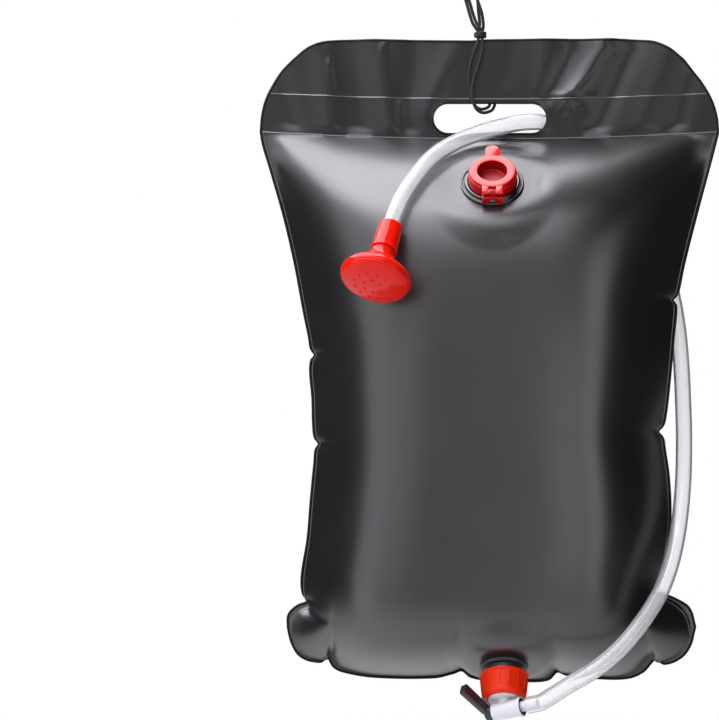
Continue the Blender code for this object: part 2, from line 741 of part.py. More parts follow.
def filler_neck():
    """The red neck stands in the collar, with a mouth tube inside it and the cap's hinge block in front."""
    tube_wall = MOUTH_RADIUS + NECK_WALL
    profile = (
        (NECK_RADIUS - NECK_CHAMFER, NECK_TOP), (NECK_RADIUS, NECK_TOP - NECK_CHAMFER),
        (NECK_RADIUS, NECK_LOW), (NECK_RADIUS - NECK_WALL, NECK_LOW),
        (NECK_RADIUS - NECK_WALL, NECK_TOP - NECK_WALL),
        (tube_wall, NECK_TOP - NECK_WALL), (tube_wall, NECK_LOW),
        (MOUTH_RADIUS, NECK_LOW), (MOUTH_RADIUS, NECK_TOP),
    )
    neck = turned("filler_neck", profile, filler, RED, FINE_STEPS)
    sleeve = NECK_RADIUS + GAP + COLLAR_SLEEVE_WALL + GAP
    sleeve_top = GAP + COLLAR_PLATE + COLLAR_SLEEVE_HEIGHT + GAP
    inside = NECK_RADIUS - NECK_WALL / 2
    top = NECK_LOW + BLOCK_HEIGHT
    face = sleeve + BLOCK_THICKNESS
    outline = (
        (-inside, sleeve_top), (-sleeve, sleeve_top), (-sleeve, NECK_LOW), (-face, NECK_LOW),
        (-face, top - NECK_CHAMFER), (-face + NECK_CHAMFER, top), (-inside, top),
    )
    hinge_block = side_slab("hinge_block", outline, -LUG_OUTSIDE, LUG_OUTSIDE, filler)
    tongue_outline = [(-HINGE_OUT + KNUCKLE_RADIUS, top - NECK_CHAMFER)]
    tongue_outline += arc(-HINGE_OUT, HINGE_HEIGHT, KNUCKLE_RADIUS, 0.0, 0.5, 10)
    tongue_outline += [(-HINGE_OUT - KNUCKLE_RADIUS, top - NECK_CHAMFER)]
    half = LUG_INSIDE - GAP
    tongue = side_slab("hinge_tongue", tongue_outline, -half, half, filler)
    window = block(
        "hinge_window",
        (-BLOCK_WINDOW_HALF, -face - OVERRUN, NECK_LOW - OVERRUN),
        (BLOCK_WINDOW_HALF, -sleeve + GAP, NECK_LOW + BLOCK_WINDOW_HEIGHT),
        filler,
    )
    join(neck, hinge_block, tongue)
    cut(neck, window, pin_bore)
    return neck


cap_hinge = frame("cap_hinge", (0.0, -HINGE_OUT, HINGE_HEIGHT), (0, 0, 1), (1, 0, 0), filler)
pin_line = frame("pin_line", (0.0, -HINGE_OUT, HINGE_HEIGHT), (1, 0, 0), (0, 1, 0), filler)
PIN_BORE = PIN_RADIUS + PIN_CLEARANCE
pin_bore = rod("pin_bore", PIN_BORE, -COLLAR_RADIUS, COLLAR_RADIUS, pin_line, steps=SMALL_STEPS)


def filler_cap():
    """The red cap: a ring round a cup that plugs the mouth, a pull tab and two lugs on the hinge pin."""
    axis = frame("cap_axis", (0.0, HINGE_OUT, -HINGE_HEIGHT), (0, 0, 1), (1, 0, 0), cap_hinge)
    plug = CUP_RADIUS + CUP_WALL
    low = CAP_LOW - CUP_DEPTH
    profile = (
        (0.0, low + CUP_FLOOR), (CUP_RADIUS - CUP_TAPER, low + CUP_FLOOR), (CUP_RADIUS, CAP_TOP - CAP_EDGE),
        (CUP_RADIUS + CAP_EDGE, CAP_TOP), (CAP_RADIUS - CAP_EDGE, CAP_TOP), (CAP_RADIUS, CAP_TOP - CAP_EDGE),
        (CAP_RADIUS, CAP_LOW), (plug, CAP_LOW), (plug - CUP_TAPER, low), (0.0, low),
    )
    cap = turned("filler_cap", profile, axis, RED, FINE_STEPS)
    half = TAB_WIDTH / 2
    inner = CAP_RADIUS - CAP_EDGE - half / 2
    tab_end = arc(0.0, CAP_RADIUS + TAB_REACH - half, half, 0.0, 0.5, 10)
    tab_outline = [(half, inner), *tab_end, (-half, inner)]
    tab_stand = frame("tab_stand", (0.0, 0.0, CAP_TOP - GAP - TAB_THICKNESS / 2), (0, 0, 1), (1, 0, 0), axis)
    tab = slab("cap_tab", tab_outline, TAB_THICKNESS / 2, tab_stand)
    root = -CAP_RADIUS + LUG_THICKNESS
    lug_outline = [(root, CAP_LOW + LUG_THICKNESS)]
    lug_outline += arc(-HINGE_OUT, HINGE_HEIGHT, KNUCKLE_RADIUS, 0.25, 1.0, 12)
    lug_outline += [(root, CAP_LOW + GAP)]
    left = side_slab("left_lug", lug_outline, -LUG_OUTSIDE, -LUG_INSIDE, axis)
    right = side_slab("right_lug", lug_outline, LUG_INSIDE, LUG_OUTSIDE, axis)
    floor = low + CUP_FLOOR
    across = (math.cos(CUP_RIB_TURN), math.sin(CUP_RIB_TURN), 0.0)
    rib_stand = frame("rib_stand", (0.0, 0.0, floor), (0, 0, 1), across, axis)
    rib_out = CUP_RADIUS * CUP_RIB_SHARE
    rib = block(
        "cup_rib",
        (-CUP_RADIUS / 2, -rib_out - CUP_RIB_WIDTH, -CUP_FLOOR / 2),
        (CUP_RADIUS / 2, -rib_out, CUP_RIB_HEIGHT),
        rib_stand,
    )
    join(cap, tab, left, right, rib)
    cut(cap, pin_bore)
    return cap


filler_collar()
filler_neck()
filler_cap()
rod("filler_hinge_pin", PIN_RADIUS, -LUG_OUTSIDE, LUG_OUTSIDE, pin_line, STEEL, SMALL_STEPS, 1.0)


# Outlet, from the sheet outwards: spout, gasket, nut and valve

SPOUT_END = GAP + SPOUT_LENGTH
GASKET_LOW = SPOUT_END + GAP
VALVE_LOW = GASKET_LOW + GASKET_THICKNESS + GAP
VALVE_TOP = VALVE_LOW + VALVE_FLANGE
NUT_LIP_LOW = VALVE_TOP + GAP
NUT_END = NUT_LIP_LOW + NUT_LIP
NUT_BORE = SPOUT_RADIUS + GAP
BARREL_HEIGHT = NUT_END + BARREL_DROP


def outlet_spout():
    """Black flange and threaded spout, welded over the hole in the front sheet."""
    soft = SPOUT_FLANGE / 4
    profile = (
        (SPOUT_RADIUS - soft, SPOUT_END), (SPOUT_RADIUS, SPOUT_END - soft),
        (SPOUT_RADIUS, GAP + SPOUT_FLANGE), (SPOUT_FLANGE_RADIUS - soft, GAP + SPOUT_FLANGE),
        (SPOUT_FLANGE_RADIUS, GAP + SPOUT_FLANGE - soft),
        (SPOUT_FLANGE_RADIUS, GAP), (SPOUT_BORE, GAP), (SPOUT_BORE, SPOUT_END),
    )
    return turned("outlet_spout", profile, outlet, BLACK)


def outlet_nut():
    """Red union nut with upright ribs: it tapers to its end, where a lip pulls the valve on the spout."""
    outline = []
    for i in range(NUT_RIBS):
        middle = i / NUT_RIBS
        rib = NUT_RIB_WIDTH / NUT_RADIUS / TURN / 2
        outline += arc(0.0, 0.0, NUT_RADIUS + NUT_RIB_RISE, middle - rib, middle + rib, 1)
        outline += arc(0.0, 0.0, NUT_RADIUS, middle + 2 * rib, middle + 1 / NUT_RIBS - 2 * rib, 3)
    half = (NUT_END - NUT_STANDOFF) / 2
    stand = frame("nut_stand", (0.0, 0.0, NUT_STANDOFF + half), (0, 0, 1), (1, 0, 0), outlet)
    nut = slab("outlet_nut", outline, half, stand, RED)
    for corner in nut.data.vertices:
        if corner.co.z > 0.0:
            corner.co.x *= NUT_END_RADIUS / NUT_RADIUS
            corner.co.y *= NUT_END_RADIUS / NUT_RADIUS
    bore = (
        (0.0, OVERRUN), (VALVE_BOSS_RADIUS + GAP, OVERRUN), (VALVE_BOSS_RADIUS + GAP, -NUT_LIP),
        (NUT_BORE, -NUT_LIP), (NUT_BORE, -2 * half - OVERRUN), (0.0, -2 * half - OVERRUN),
    )
    end = frame("nut_end", (0.0, 0.0, half), (0, 0, 1), (1, 0, 0), stand)
    cut(nut, turned("nut_bore", bore, end))
    wide = NUT_RADIUS + OVERRUN
    slim = NUT_END_RADIUS - NUT_CHAMFER
    ring = ((wide, OVERRUN), (wide, slim - wide), (slim, 0.0), (slim, OVERRUN))
    cut(nut, turned("nut_chamfer", ring, end))
    return nut


barrel = frame(
    "barrel_frame",
    (0.0, 0.0, BARREL_HEIGHT),
    (math.cos(VALVE_TWIST), math.sin(VALVE_TWIST), 0.0),
    (0, 0, -1),
    outlet,
)


def valve_body():
    """Milky tap body: a flange and a boss held by the nut, and a barrel across them with an open end."""
    soft = VALVE_FLANGE / 6
    profile = (
        (0.0, BARREL_HEIGHT), (VALVE_PILLAR_RADIUS, BARREL_HEIGHT), (VALVE_PILLAR_RADIUS, NUT_END + GAP),
        (VALVE_BOSS_RADIUS - soft, NUT_END + GAP), (VALVE_BOSS_RADIUS, NUT_END + GAP - soft),
        (VALVE_BOSS_RADIUS, VALVE_TOP), (SPOUT_RADIUS - soft, VALVE_TOP), (SPOUT_RADIUS, VALVE_TOP - soft),
        (SPOUT_RADIUS, VALVE_LOW), (0.0, VALVE_LOW),
    )
    body = turned("valve_body", profile, outlet, MILKY)
    edge = RIM_LENGTH / 4
    shell = (
        (0.0, BARREL_FRONT), (RIM_RADIUS - edge, BARREL_FRONT), (RIM_RADIUS, BARREL_FRONT - edge),
        (RIM_RADIUS, BARREL_FRONT - RIM_LENGTH), (BARREL_RADIUS, BARREL_FRONT - RIM_LENGTH - edge),
        (BARREL_RADIUS, -BARREL_BACK + edge), (BARREL_RADIUS - edge, -BARREL_BACK), (0.0, -BARREL_BACK),
    )
    bore = (
        (0.0, BARREL_FRONT + OVERRUN), (RIM_RADIUS - RIM_WALL, BARREL_FRONT + OVERRUN),
        (RIM_RADIUS - RIM_WALL, BARREL_FRONT - RIM_RECESS), (BARREL_BORE, BARREL_FRONT - RIM_RECESS),
        (BARREL_BORE, -BARREL_BACK + BARREL_BACK_WALL), (STEM_RADIUS + GAP, -BARREL_BACK + BARREL_BACK_WALL),
        (STEM_RADIUS + GAP, -BARREL_BACK - OVERRUN), (0.0, -BARREL_BACK - OVERRUN),
    )
    join(body, turned("barrel_shell", shell, barrel))
    inlet = rod("inlet_bore", VALVE_INLET, VALVE_LOW - OVERRUN, BARREL_HEIGHT, outlet)
    cut(body, turned("barrel_bore", bore, barrel), inlet)
    return body


ROTOR_RADIUS = BARREL_BORE - GAP
ROTOR_BACK = -BARREL_BACK + BARREL_BACK_WALL + GAP
HUB_FRONT = -BARREL_BACK - GAP
HUB_BACK = HUB_FRONT - HUB_LENGTH
STEM_END = HUB_BACK + HUB_CAP + GAP
RING_RADIUS = BARREL_BORE - RING_SEAT - RING_WIRE


def valve_rotor():
    """Black hollow plug that turns in the barrel: a side port, two ring grooves and a stem for the lever."""
    groove = RING_RADIUS - RING_WIRE - GAP
    half = RING_WIRE + GAP
    edge = GAP
    profile = [
        (0.0, -ROTOR_SOLID), (ROTOR_BORE, -ROTOR_SOLID), (ROTOR_BORE, ROTOR_FRONT),
        (ROTOR_RADIUS - edge, ROTOR_FRONT), (ROTOR_RADIUS, ROTOR_FRONT - edge),
    ]
    for spot in (RING_FRONT_SPOT, -RING_BACK_SPOT):
        profile += [
            (ROTOR_RADIUS, spot + half), (groove, spot + half),
            (groove, spot - half), (ROTOR_RADIUS, spot - half),
        ]
    profile += [
        (ROTOR_RADIUS, ROTOR_BACK), (STEM_RADIUS, ROTOR_BACK), (STEM_RADIUS, STEM_END), (0.0, STEM_END),
    ]
    rotor = turned("valve_rotor", profile, turning, BLACK, SMALL_STEPS + SMALL_STEPS // 2)
    port_line = frame("port_line", (0.0, 0.0, 0.0), (0, -1, 0), (1, 0, 0), turning)
    cut(rotor, rod("rotor_port", ROTOR_PORT, 0.0, BARREL_RADIUS, port_line, steps=SMALL_STEPS))
    return rotor


def valve_ring(name, spot):
    """A rubber ring in one of the plug's grooves."""
    wire = arc(0.0, 0.0, RING_WIRE, *RING_ARC_SHARES, RING_SIDES - 1)
    section = [(RING_RADIUS + x, spot + z) for x, z in wire]
    return turned(name, section, turning, RUBBER, SMALL_STEPS)


turning = frame(
    "lever_axis",
    (0.0, 0.0, 0.0),
    (0, 0, 1),
    (math.cos(LEVER_ANGLE), math.sin(LEVER_ANGLE), 0.0),
    barrel,
)


def valve_lever():
    """Black lever: a hub on the plug's stem and a blade that leans off the barrel and widens to its end."""
    edge = HUB_LENGTH / 8
    profile = (
        (0.0, HUB_BACK + HUB_CAP), (STEM_RADIUS + GAP, HUB_BACK + HUB_CAP), (STEM_RADIUS + GAP, HUB_FRONT),
        (HUB_RADIUS - edge, HUB_FRONT), (HUB_RADIUS, HUB_FRONT - edge), (HUB_RADIUS, HUB_BACK + edge),
        (HUB_RADIUS - edge, HUB_BACK), (0.0, HUB_BACK),
    )
    lever = turned("valve_lever", profile, turning, BLACK)
    middle = HUB_BACK + LEVER_THICKNESS / 2
    lean = (math.cos(LEVER_LEAN), 0.0, -math.sin(LEVER_LEAN))
    stand = frame("blade_stand", (0.0, 0.0, middle), (0, 1, 0), lean, turning)
    half = LEVER_THICKNESS / 2
    corner = half / 3
    root = STEM_RADIUS + GAP + HUB_CAP
    outline = (
        (root, -half), (LEVER_LENGTH - corner, -half), (LEVER_LENGTH, -half + corner),
        (LEVER_LENGTH, half - corner), (LEVER_LENGTH - corner, half), (root, half),
    )
    blade = slab("lever_blade", outline, LEVER_WIDTH / 2, stand)
    for point in blade.data.vertices:
        widen = (LEVER_END_WIDTH / LEVER_WIDTH - 1) * (point.co.x - root) / (LEVER_LENGTH - root)
        point.co.z *= 1 + widen
    join(lever, blade)
    return lever


def valve_end_seal():
    """Black ring in the recess of the barrel's open end."""
    outer = RIM_RADIUS - RIM_WALL - GAP
    low = BARREL_FRONT - RIM_RECESS + GAP
    high = BARREL_FRONT - GAP
    profile = ((outer, high), (outer, low), (SEAL_BORE, low), (SEAL_BORE, high))
    return turned("valve_end_seal", profile, barrel, RUBBER)


def valve_spigot():
    """Milky spigot held in the barrel by its shoulder, with a barb that the hose is pushed over."""
    shoulder = BARREL_FRONT - RIM_RECESS
    barb = SPIGOT_RADIUS + BARB_RISE
    barb_low = SPIGOT_END - BARB_LENGTH
    profile = (
        (SPIGOT_RADIUS - BARB_RISE, SPIGOT_END), (barb, barb_low), (SPIGOT_RADIUS, barb_low),
        (SPIGOT_RADIUS, shoulder), (ROTOR_RADIUS, shoulder), (ROTOR_RADIUS, SPIGOT_START),
        (SPIGOT_BORE, SPIGOT_START), (SPIGOT_BORE, SPIGOT_END),
    )
    return turned("valve_spigot", profile, barrel, MILKY, SMALL_STEPS + SMALL_STEPS // 2)


def outlet_gasket():
    high = GASKET_LOW + GASKET_THICKNESS
    low = GASKET_LOW
    profile = ((SPOUT_RADIUS, high), (SPOUT_RADIUS, low), (GASKET_BORE, low), (GASKET_BORE, high))
    return turned("outlet_gasket", profile, outlet, RUBBER)


outlet_spout()
outlet_gasket()
outlet_nut()
valve_body()
valve_rotor()
valve_ring("valve_front_ring", RING_FRONT_SPOT)
valve_ring("valve_back_ring", -RING_BACK_SPOT)
valve_lever()
valve_end_seal()
valve_spigot()


# Shower head: its frame's Z runs down from the sleeve's top

head = frame("head_frame", HEAD_TOP, HEAD_AXIS, (1, 0, 0))
CAVITY_LOW = SLEEVE_SOCKET + SLEEVE_WALL
CAVITY_RADIUS = SLEEVE_RADIUS - SLEEVE_SHELL
STEM_OUTER = CAVITY_RADIUS - GAP
BELL_START = SLEEVE_LENGTH + GAP
BELL_END = BELL_START + BELL_LENGTH
SEAL_SPOT = CAVITY_LOW + SLEEVE_WALL + SLEEVE_WALL / 2


def upside_down(profile):
    """Turns a list written from the sleeve downwards into one that runs down the outer side of its frame."""
    return [(radius, height) for radius, height in reversed(profile)]


def head_sleeve():
    """Red sleeve: the hose sits in its upper end and the stem of the bell slides in its lower end."""
    lip = SLEEVE_END_RADIUS + SLEEVE_LIP
    lip_low = SLEEVE_LENGTH - SLEEVE_LIP_LENGTH
    profile = (
        (HOSE_RADIUS + GAP + SLEEVE_EASE, 0.0), (SLEEVE_RADIUS - SLEEVE_CHAMFER, 0.0),
        (SLEEVE_RADIUS, SLEEVE_CHAMFER),
        (SLEEVE_END_RADIUS, lip_low), (lip, lip_low + SLEEVE_LIP), (lip, SLEEVE_LENGTH),
        (CAVITY_RADIUS, SLEEVE_LENGTH), (CAVITY_RADIUS, CAVITY_LOW), (SLEEVE_PASSAGE, CAVITY_LOW),
        (SLEEVE_PASSAGE, SLEEVE_SOCKET), (HOSE_RADIUS + GAP, SLEEVE_SOCKET),
    )
    return turned("head_sleeve", upside_down(profile), head, RED, STEPS)


def bell_points(inset):
    """The bell's side, from its neck to its rim, drawn in by an inset."""
    rise = BELL_RADIUS - BELL_NECK
    return [(BELL_NECK + rise * out - inset, BELL_START + BELL_LENGTH * down) for out, down in BELL_SHARES]


def head_bell():
    """Red mushroom bell: a stem that slides in the sleeve, a groove for its ring and a rim for the rose."""
    groove = CAVITY_RADIUS - RING_SEAT - 2 * SEAL_WIRE - GAP
    half = SEAL_WIRE + GAP
    outer = [
        (BELL_BORE, CAVITY_LOW + GAP), (STEM_OUTER, CAVITY_LOW + GAP), (STEM_OUTER, SEAL_SPOT - half),
        (groove, SEAL_SPOT - half), (groove, SEAL_SPOT + half), (STEM_OUTER, SEAL_SPOT + half),
        (STEM_OUTER, BELL_START),
    ]
    side = bell_points(0.0)
    inner = [(radius, height + BELL_SHELL) for radius, height in bell_points(BELL_SHELL)[3:7]]
    rim = BELL_RADIUS - BELL_SHELL
    hollow = [(rim, BELL_END), (rim, inner[-1][1] + BELL_SHELL)]
    hollow += [*reversed(inner), (BELL_BORE, inner[0][1] - BELL_SHELL)]
    return turned("head_bell", upside_down(outer + side + hollow), head, RED, STEPS)


def head_rose():
    """Red domed face, snapped in the bell's rim, with its water jets in rings."""
    edge = BELL_RADIUS - ROSE_EDGE
    low = BELL_END + GAP
    face = [(edge * out, low + ROSE_HEIGHT * down) for out, down in ROSE_SHARES]
    skirt = BELL_RADIUS - BELL_SHELL - GAP
    inside = skirt - ROSE_SHELL
    hollow = [
        (0.0, low + ROSE_HEIGHT - ROSE_SHELL),
        (inside / 2, low + (ROSE_HEIGHT - ROSE_SHELL) * ROSE_HOLLOW_SHARE),
        (inside, low), (inside, low - ROSE_SKIRT), (skirt, low - ROSE_SKIRT), (skirt, low),
    ]
    rose = turned("head_rose", upside_down(hollow + face), head, RED, STEPS)
    work = bmesh.new()
    for count, out in ROSE_JETS:
        for i in range(count):
            angle = TURN * (i + 0.5) / count
            centre = (out * math.cos(angle), out * math.sin(angle), low + ROSE_HEIGHT - ROSE_SHELL)
            bmesh.ops.create_cone(
                work, cap_ends=True, segments=6, radius1=JET_RADIUS, radius2=JET_RADIUS,
                depth=2 * ROSE_HEIGHT, matrix=Matrix.Translation(centre),
            )
    mesh = bpy.data.meshes.new("rose_jets")
    work.to_mesh(mesh)
    work.free()
    cut(rose, place_part("rose_jets", mesh, head, None))
    return rose


def head_seal():
    """Rubber ring in the stem's groove."""
    centre = CAVITY_RADIUS - RING_SEAT - SEAL_WIRE
    wire = arc(0.0, 0.0, SEAL_WIRE, *RING_ARC_SHARES, RING_SIDES - 1)
    section = [(centre + x, SEAL_SPOT + z) for x, z in wire]
    return turned("head_seal", section, head, RUBBER)


head_sleeve()
head_bell()
head_seal()
head_rose()


# Hose and hanging cord

def hose():
    """Clear hose from the spigot to the sleeve: it leaves both straight, along their own axes."""
    start, end = world_of(barrel), world_of(head)
    first = [start @ Vector((0.0, 0.0, HOSE_START + out)) for out in (0.0, HOSE_STRAIGHT)]
    last = [end @ Vector((0.0, 0.0, height)) for height in (-SLEEVE_CHAMFER, SLEEVE_SOCKET - GAP)]
    line = smooth_line([*first, *HOSE_ROUTE, *last])
    between = spaced(line[LINE_STEPS:-LINE_STEPS], HOSE_POINTS)
    return tube("hose", [first[0], *between, last[-1]], HOSE_RADIUS, 3, CLEAR, HOSE_WALL)


def hanging_cord():
    """Thin black cord, two turns over the hook and through the handle slot, its ends in the knot."""
    return tube("hanging_cord", spaced(smooth_line(CORD_ROUTE), CORD_POINTS), CORD_RADIUS, 1, CORD_BLACK)


def cord_knot():
    """The knot round the cord's four strands, just above the bag's top edge."""
    half = KNOT_HEIGHT / 2
    stand = frame("knot_frame", KNOT_CENTRE, (0, 0, 1), (1, 0, 0))
    profile = (
        (KNOT_RADIUS - KNOT_ROUND, half), (KNOT_RADIUS, half - KNOT_ROUND), (KNOT_RADIUS, -half + KNOT_ROUND),
        (KNOT_RADIUS - KNOT_ROUND, -half), (KNOT_BORE, -half), (KNOT_BORE, half),
    )
    return turned("cord_knot", profile, stand, CORD_BLACK, SMALL_STEPS)


hose()
hanging_cord()
cord_knot()
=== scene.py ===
"""Looks of a camp shower bag: a black PVC water bag that hangs by a thin cord, with a red capped filler, a
screwed tap with a lever, a clear hose and a red shower head. Metres, +Z up, the bag's front faces -Y, and
the origin is the inner top of the cord's loop.
"""

import math

import bmesh
import bpy
import numpy as np
from mathutils import Matrix, Vector
from mathutils.bvhtree import BVHTree


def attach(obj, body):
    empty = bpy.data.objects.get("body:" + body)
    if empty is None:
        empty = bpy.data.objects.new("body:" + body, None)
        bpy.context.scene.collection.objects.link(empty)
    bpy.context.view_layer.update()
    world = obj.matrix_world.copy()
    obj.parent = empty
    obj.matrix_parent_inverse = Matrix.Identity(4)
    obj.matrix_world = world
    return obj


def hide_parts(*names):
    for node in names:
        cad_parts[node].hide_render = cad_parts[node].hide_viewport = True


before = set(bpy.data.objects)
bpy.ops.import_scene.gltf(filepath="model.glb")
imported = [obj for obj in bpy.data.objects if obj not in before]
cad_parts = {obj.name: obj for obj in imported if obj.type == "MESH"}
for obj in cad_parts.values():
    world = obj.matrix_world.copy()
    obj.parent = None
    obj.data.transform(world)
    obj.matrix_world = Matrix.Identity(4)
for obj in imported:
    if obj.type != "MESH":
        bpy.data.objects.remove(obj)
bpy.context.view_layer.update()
TURN = 2 * math.pi
# Edges that turn by more than this stay sharp in the shading, on mouldings and on the film
SHARP_TURN = math.radians(38)
FILM_TURN = math.radians(50)


# Camera, floor and light
# The bag hangs well above a plain pale floor, in front of nothing, seen level from a little over two metres.
# One wide soft light hangs above and to the left, and narrow soft ones stand at both sides.

EYE = Vector((0.019, -2.3, -0.3341))
EYE_LENS = 131.57
EYE_SHIFT = -0.1815
FLOOR_DROP = 1.25
FLOOR_HALF = 2.6
FLOOR_COLOUR = (0.80, 0.79, 0.77, 1.0)
# Each light's name, place, aim, width and height, and how bright its face is
LIGHTS = (
    ("top_light", (-0.66, 0.10, 0.95), (-0.40, 0.0, -0.25), (2.2, 1.7), 6.8),
    ("brow_light", (-0.42, -1.55, 1.20), (-0.05, 0.0, -0.25), (2.5, 1.1), 3.0),
    ("high_front_light", (-0.20, -2.50, 0.85), (0.0, 0.0, -0.25), (2.0, 0.6), 1.25),
    ("front_light", (0.02, -3.00, -0.05), (0.0, 0.0, -0.30), (0.9, 1.0), 0.33),
    ("low_light", (0.10, -2.60, -0.98), (0.0, 0.0, -0.45), (2.4, 0.5), 0.15),
    ("left_near_light", (-0.68, -2.75, -0.20), (0.0, 0.0, -0.40), (0.55, 1.3), 0.75),
    ("left_front_light", (-1.40, -2.20, -0.25), (0.0, 0.0, -0.40), (1.4, 1.6), 1.12),
    ("left_light", (-1.80, -0.96, -0.40), (0.0, 0.0, -0.40), (1.15, 2.2), 1.3),
    ("right_front_light", (0.84, -2.55, -0.58), (0.0, 0.0, -0.40), (1.1, 0.85), 1.80),
    ("right_light", (1.42, -1.42, -0.30), (0.0, 0.0, -0.35), (0.8, 1.5), 1.7),
)
LIGHT_COLOUR = (0.960, 0.940, 1.0)
# What the camera sees behind the bag, and what the rest of the room gives
BACKDROP = (1.0, 1.0, 1.0, 1.0)
ROOM_COLOUR = (0.92, 0.95, 1.0, 1.0)
ROOM_BRIGHTNESS = 0.02

camera_data = bpy.data.cameras.new("eye")
camera_data.sensor_fit = "HORIZONTAL"
camera_data.sensor_width = 36.0
camera_data.lens = EYE_LENS
camera_data.shift_x = EYE_SHIFT
camera_data.clip_end = 100.0
camera = bpy.data.objects.new("eye", camera_data)
camera.matrix_world = Matrix.Translation(EYE) @ Matrix.Rotation(TURN / 4, 4, "X")
bpy.context.scene.collection.objects.link(camera)
bpy.context.scene.camera = camera
bpy.context.scene.view_settings.view_transform = "Standard"


def wire(tree, made, *values, **named):
    """Sets a node's inputs, in order or by name, each to a value or to another node's output."""
    sockets = [*made.inputs[:len(values)], *(made.inputs[label.replace("_", " ")] for label in named)]
    for socket, value in zip(sockets, (*values, *named.values())):
        if isinstance(value, bpy.types.NodeSocket):
            tree.links.new(value, socket)
        elif value is not None:
            socket.default_value = value
    return made


def node(tree, kind, *values, **named):
    """Adds a node with its inputs set."""
    return wire(tree, tree.nodes.new(kind), *values, **named)


def group_node(tree, group, **named):
    """Adds a node group's node with its inputs set."""
    made = tree.nodes.new("ShaderNodeGroup")
    made.node_tree = group
    return wire(tree, made, **named)


def maths(tree, operation, *values):
    """One step of arithmetic, as its output."""
    made = tree.nodes.new("ShaderNodeMath")
    made.operation = operation
    return wire(tree, made, *values).outputs[0]


def scaled(tree, colour, scale):
    """A colour times a number, as an output."""
    made = tree.nodes.new("ShaderNodeVectorMath")
    made.operation = "SCALE"
    return wire(tree, made, colour, Scale=scale).outputs[0]


world = bpy.data.worlds.new("studio")
bpy.context.scene.world = world
world.use_nodes = True
sky = world.node_tree
sky.nodes.clear()
rays = node(sky, "ShaderNodeLightPath").outputs
direct = maths(sky, "LESS_THAN", rays["Glossy Depth"], 0.5)
through = maths(sky, "MULTIPLY", rays["Is Transmission Ray"], direct)
straight = maths(sky, "MAXIMUM", rays["Is Camera Ray"], through)
round_about = node(sky, "ShaderNodeBackground", ROOM_COLOUR, ROOM_BRIGHTNESS).outputs[0]
seen = node(sky, "ShaderNodeBackground", BACKDROP, 1.0).outputs[0]
node(sky, "ShaderNodeOutputWorld", node(sky, "ShaderNodeMixShader", straight, round_about, seen).outputs[0])

for name, place, aim, size, brightness in LIGHTS:
    lamp = bpy.data.lights.new(name, "AREA")
    lamp.shape = "RECTANGLE"
    lamp.size, lamp.size_y = size
    lamp.energy = brightness * math.pi * size[0] * size[1]
    lamp.color = LIGHT_COLOUR
    light = bpy.data.objects.new(name, lamp)
    light.visible_camera = False
    turn = (Vector(aim) - Vector(place)).to_track_quat("-Z", "Y").to_matrix().to_4x4()
    light.matrix_world = Matrix.Translation(place) @ turn
    bpy.context.scene.collection.objects.link(light)


def new_material(name):
    """A material, its node tree and its Principled shader."""
    made = bpy.data.materials.new(name)
    made.use_nodes = True
    return made, made.node_tree, made.node_tree.nodes["Principled BSDF"]


def finish_group(name, grain, mottle, smear):
    """The surface of a moulded or rolled plastic: slow changes of colour and gloss, and a fine grain."""
    group = bpy.data.node_groups.new(name, "ShaderNodeTree")
    for way, label, kind in (
        ("INPUT", "Color", "Color"), ("INPUT", "Roughness", "Float"), ("INPUT", "Grain", "Float"),
        ("INPUT", "Spread", "Float"), ("OUTPUT", "Color", "Color"), ("OUTPUT", "Roughness", "Float"),
        ("OUTPUT", "Normal", "Vector"),
    ):
        group.interface.new_socket(label, in_out=way, socket_type="NodeSocket" + kind)
    given = node(group, "NodeGroupInput").outputs
    place = node(group, "ShaderNodeTexCoord").outputs["Object"]

    def noise(scale, detail):
        return node(group, "ShaderNodeTexNoise", Vector=place, Scale=scale, Detail=detail).outputs["Fac"]

    slow, wiped, fine = noise(mottle, 3.0), noise(smear, 4.0), noise(grain, 2.0)
    shade = node(group, "ShaderNodeMapRange", slow, To_Min=0.86, To_Max=1.14).outputs[0]
    tint = scaled(group, given["Color"], shade)
    centred = maths(group, "SUBTRACT", wiped, 0.5)
    gloss = maths(group, "MULTIPLY_ADD", centred, given["Spread"], given["Roughness"])
    bump = node(group, "ShaderNodeBump", Strength=given["Grain"], Distance=0.0001, Height=fine)
    node(group, "NodeGroupOutput", tint, gloss, bump.outputs[0])
    return group


moulded = finish_group("moulded_plastic", grain=900.0, mottle=60.0, smear=140.0)


def plastic(name, colour, roughness, grain=0.25, spread=0.12, coat=0.0, **sockets):
    """A plastic finish: the group's colour, gloss and grain, with other sockets of the shader set by name."""
    made, tree, shader = new_material(name)
    look = {"Color": (*colour, 1.0), "Roughness": roughness, "Grain": grain, "Spread": spread}
    finish = group_node(tree, moulded, **look).outputs
    wire(tree, shader, Base_Color=finish["Color"], Roughness=finish["Roughness"], Normal=finish["Normal"])
    wire(tree, shader, Coat_Weight=coat, Coat_Roughness=0.08, **sockets)
    return made


def mesh_of(name, work):
    """The mesh that a working mesh holds, which is then let go."""
    mesh = bpy.data.meshes.new(name)
    work.to_mesh(mesh)
    work.free()
    return mesh


def in_scene(name, data):
    made = bpy.data.objects.new(name, data)
    bpy.context.scene.collection.objects.link(made)
    return made


def object_from(name, mesh, material, smooth=SHARP_TURN):
    """Puts a mesh in the scene at the origin, as one finished piece, shaded smooth up to an angle."""
    mesh.materials.clear()
    mesh.materials.append(material)
    if smooth:
        mesh.shade_smooth()
        mesh.set_sharp_from_angle(angle=smooth)
    return in_scene(name, mesh)


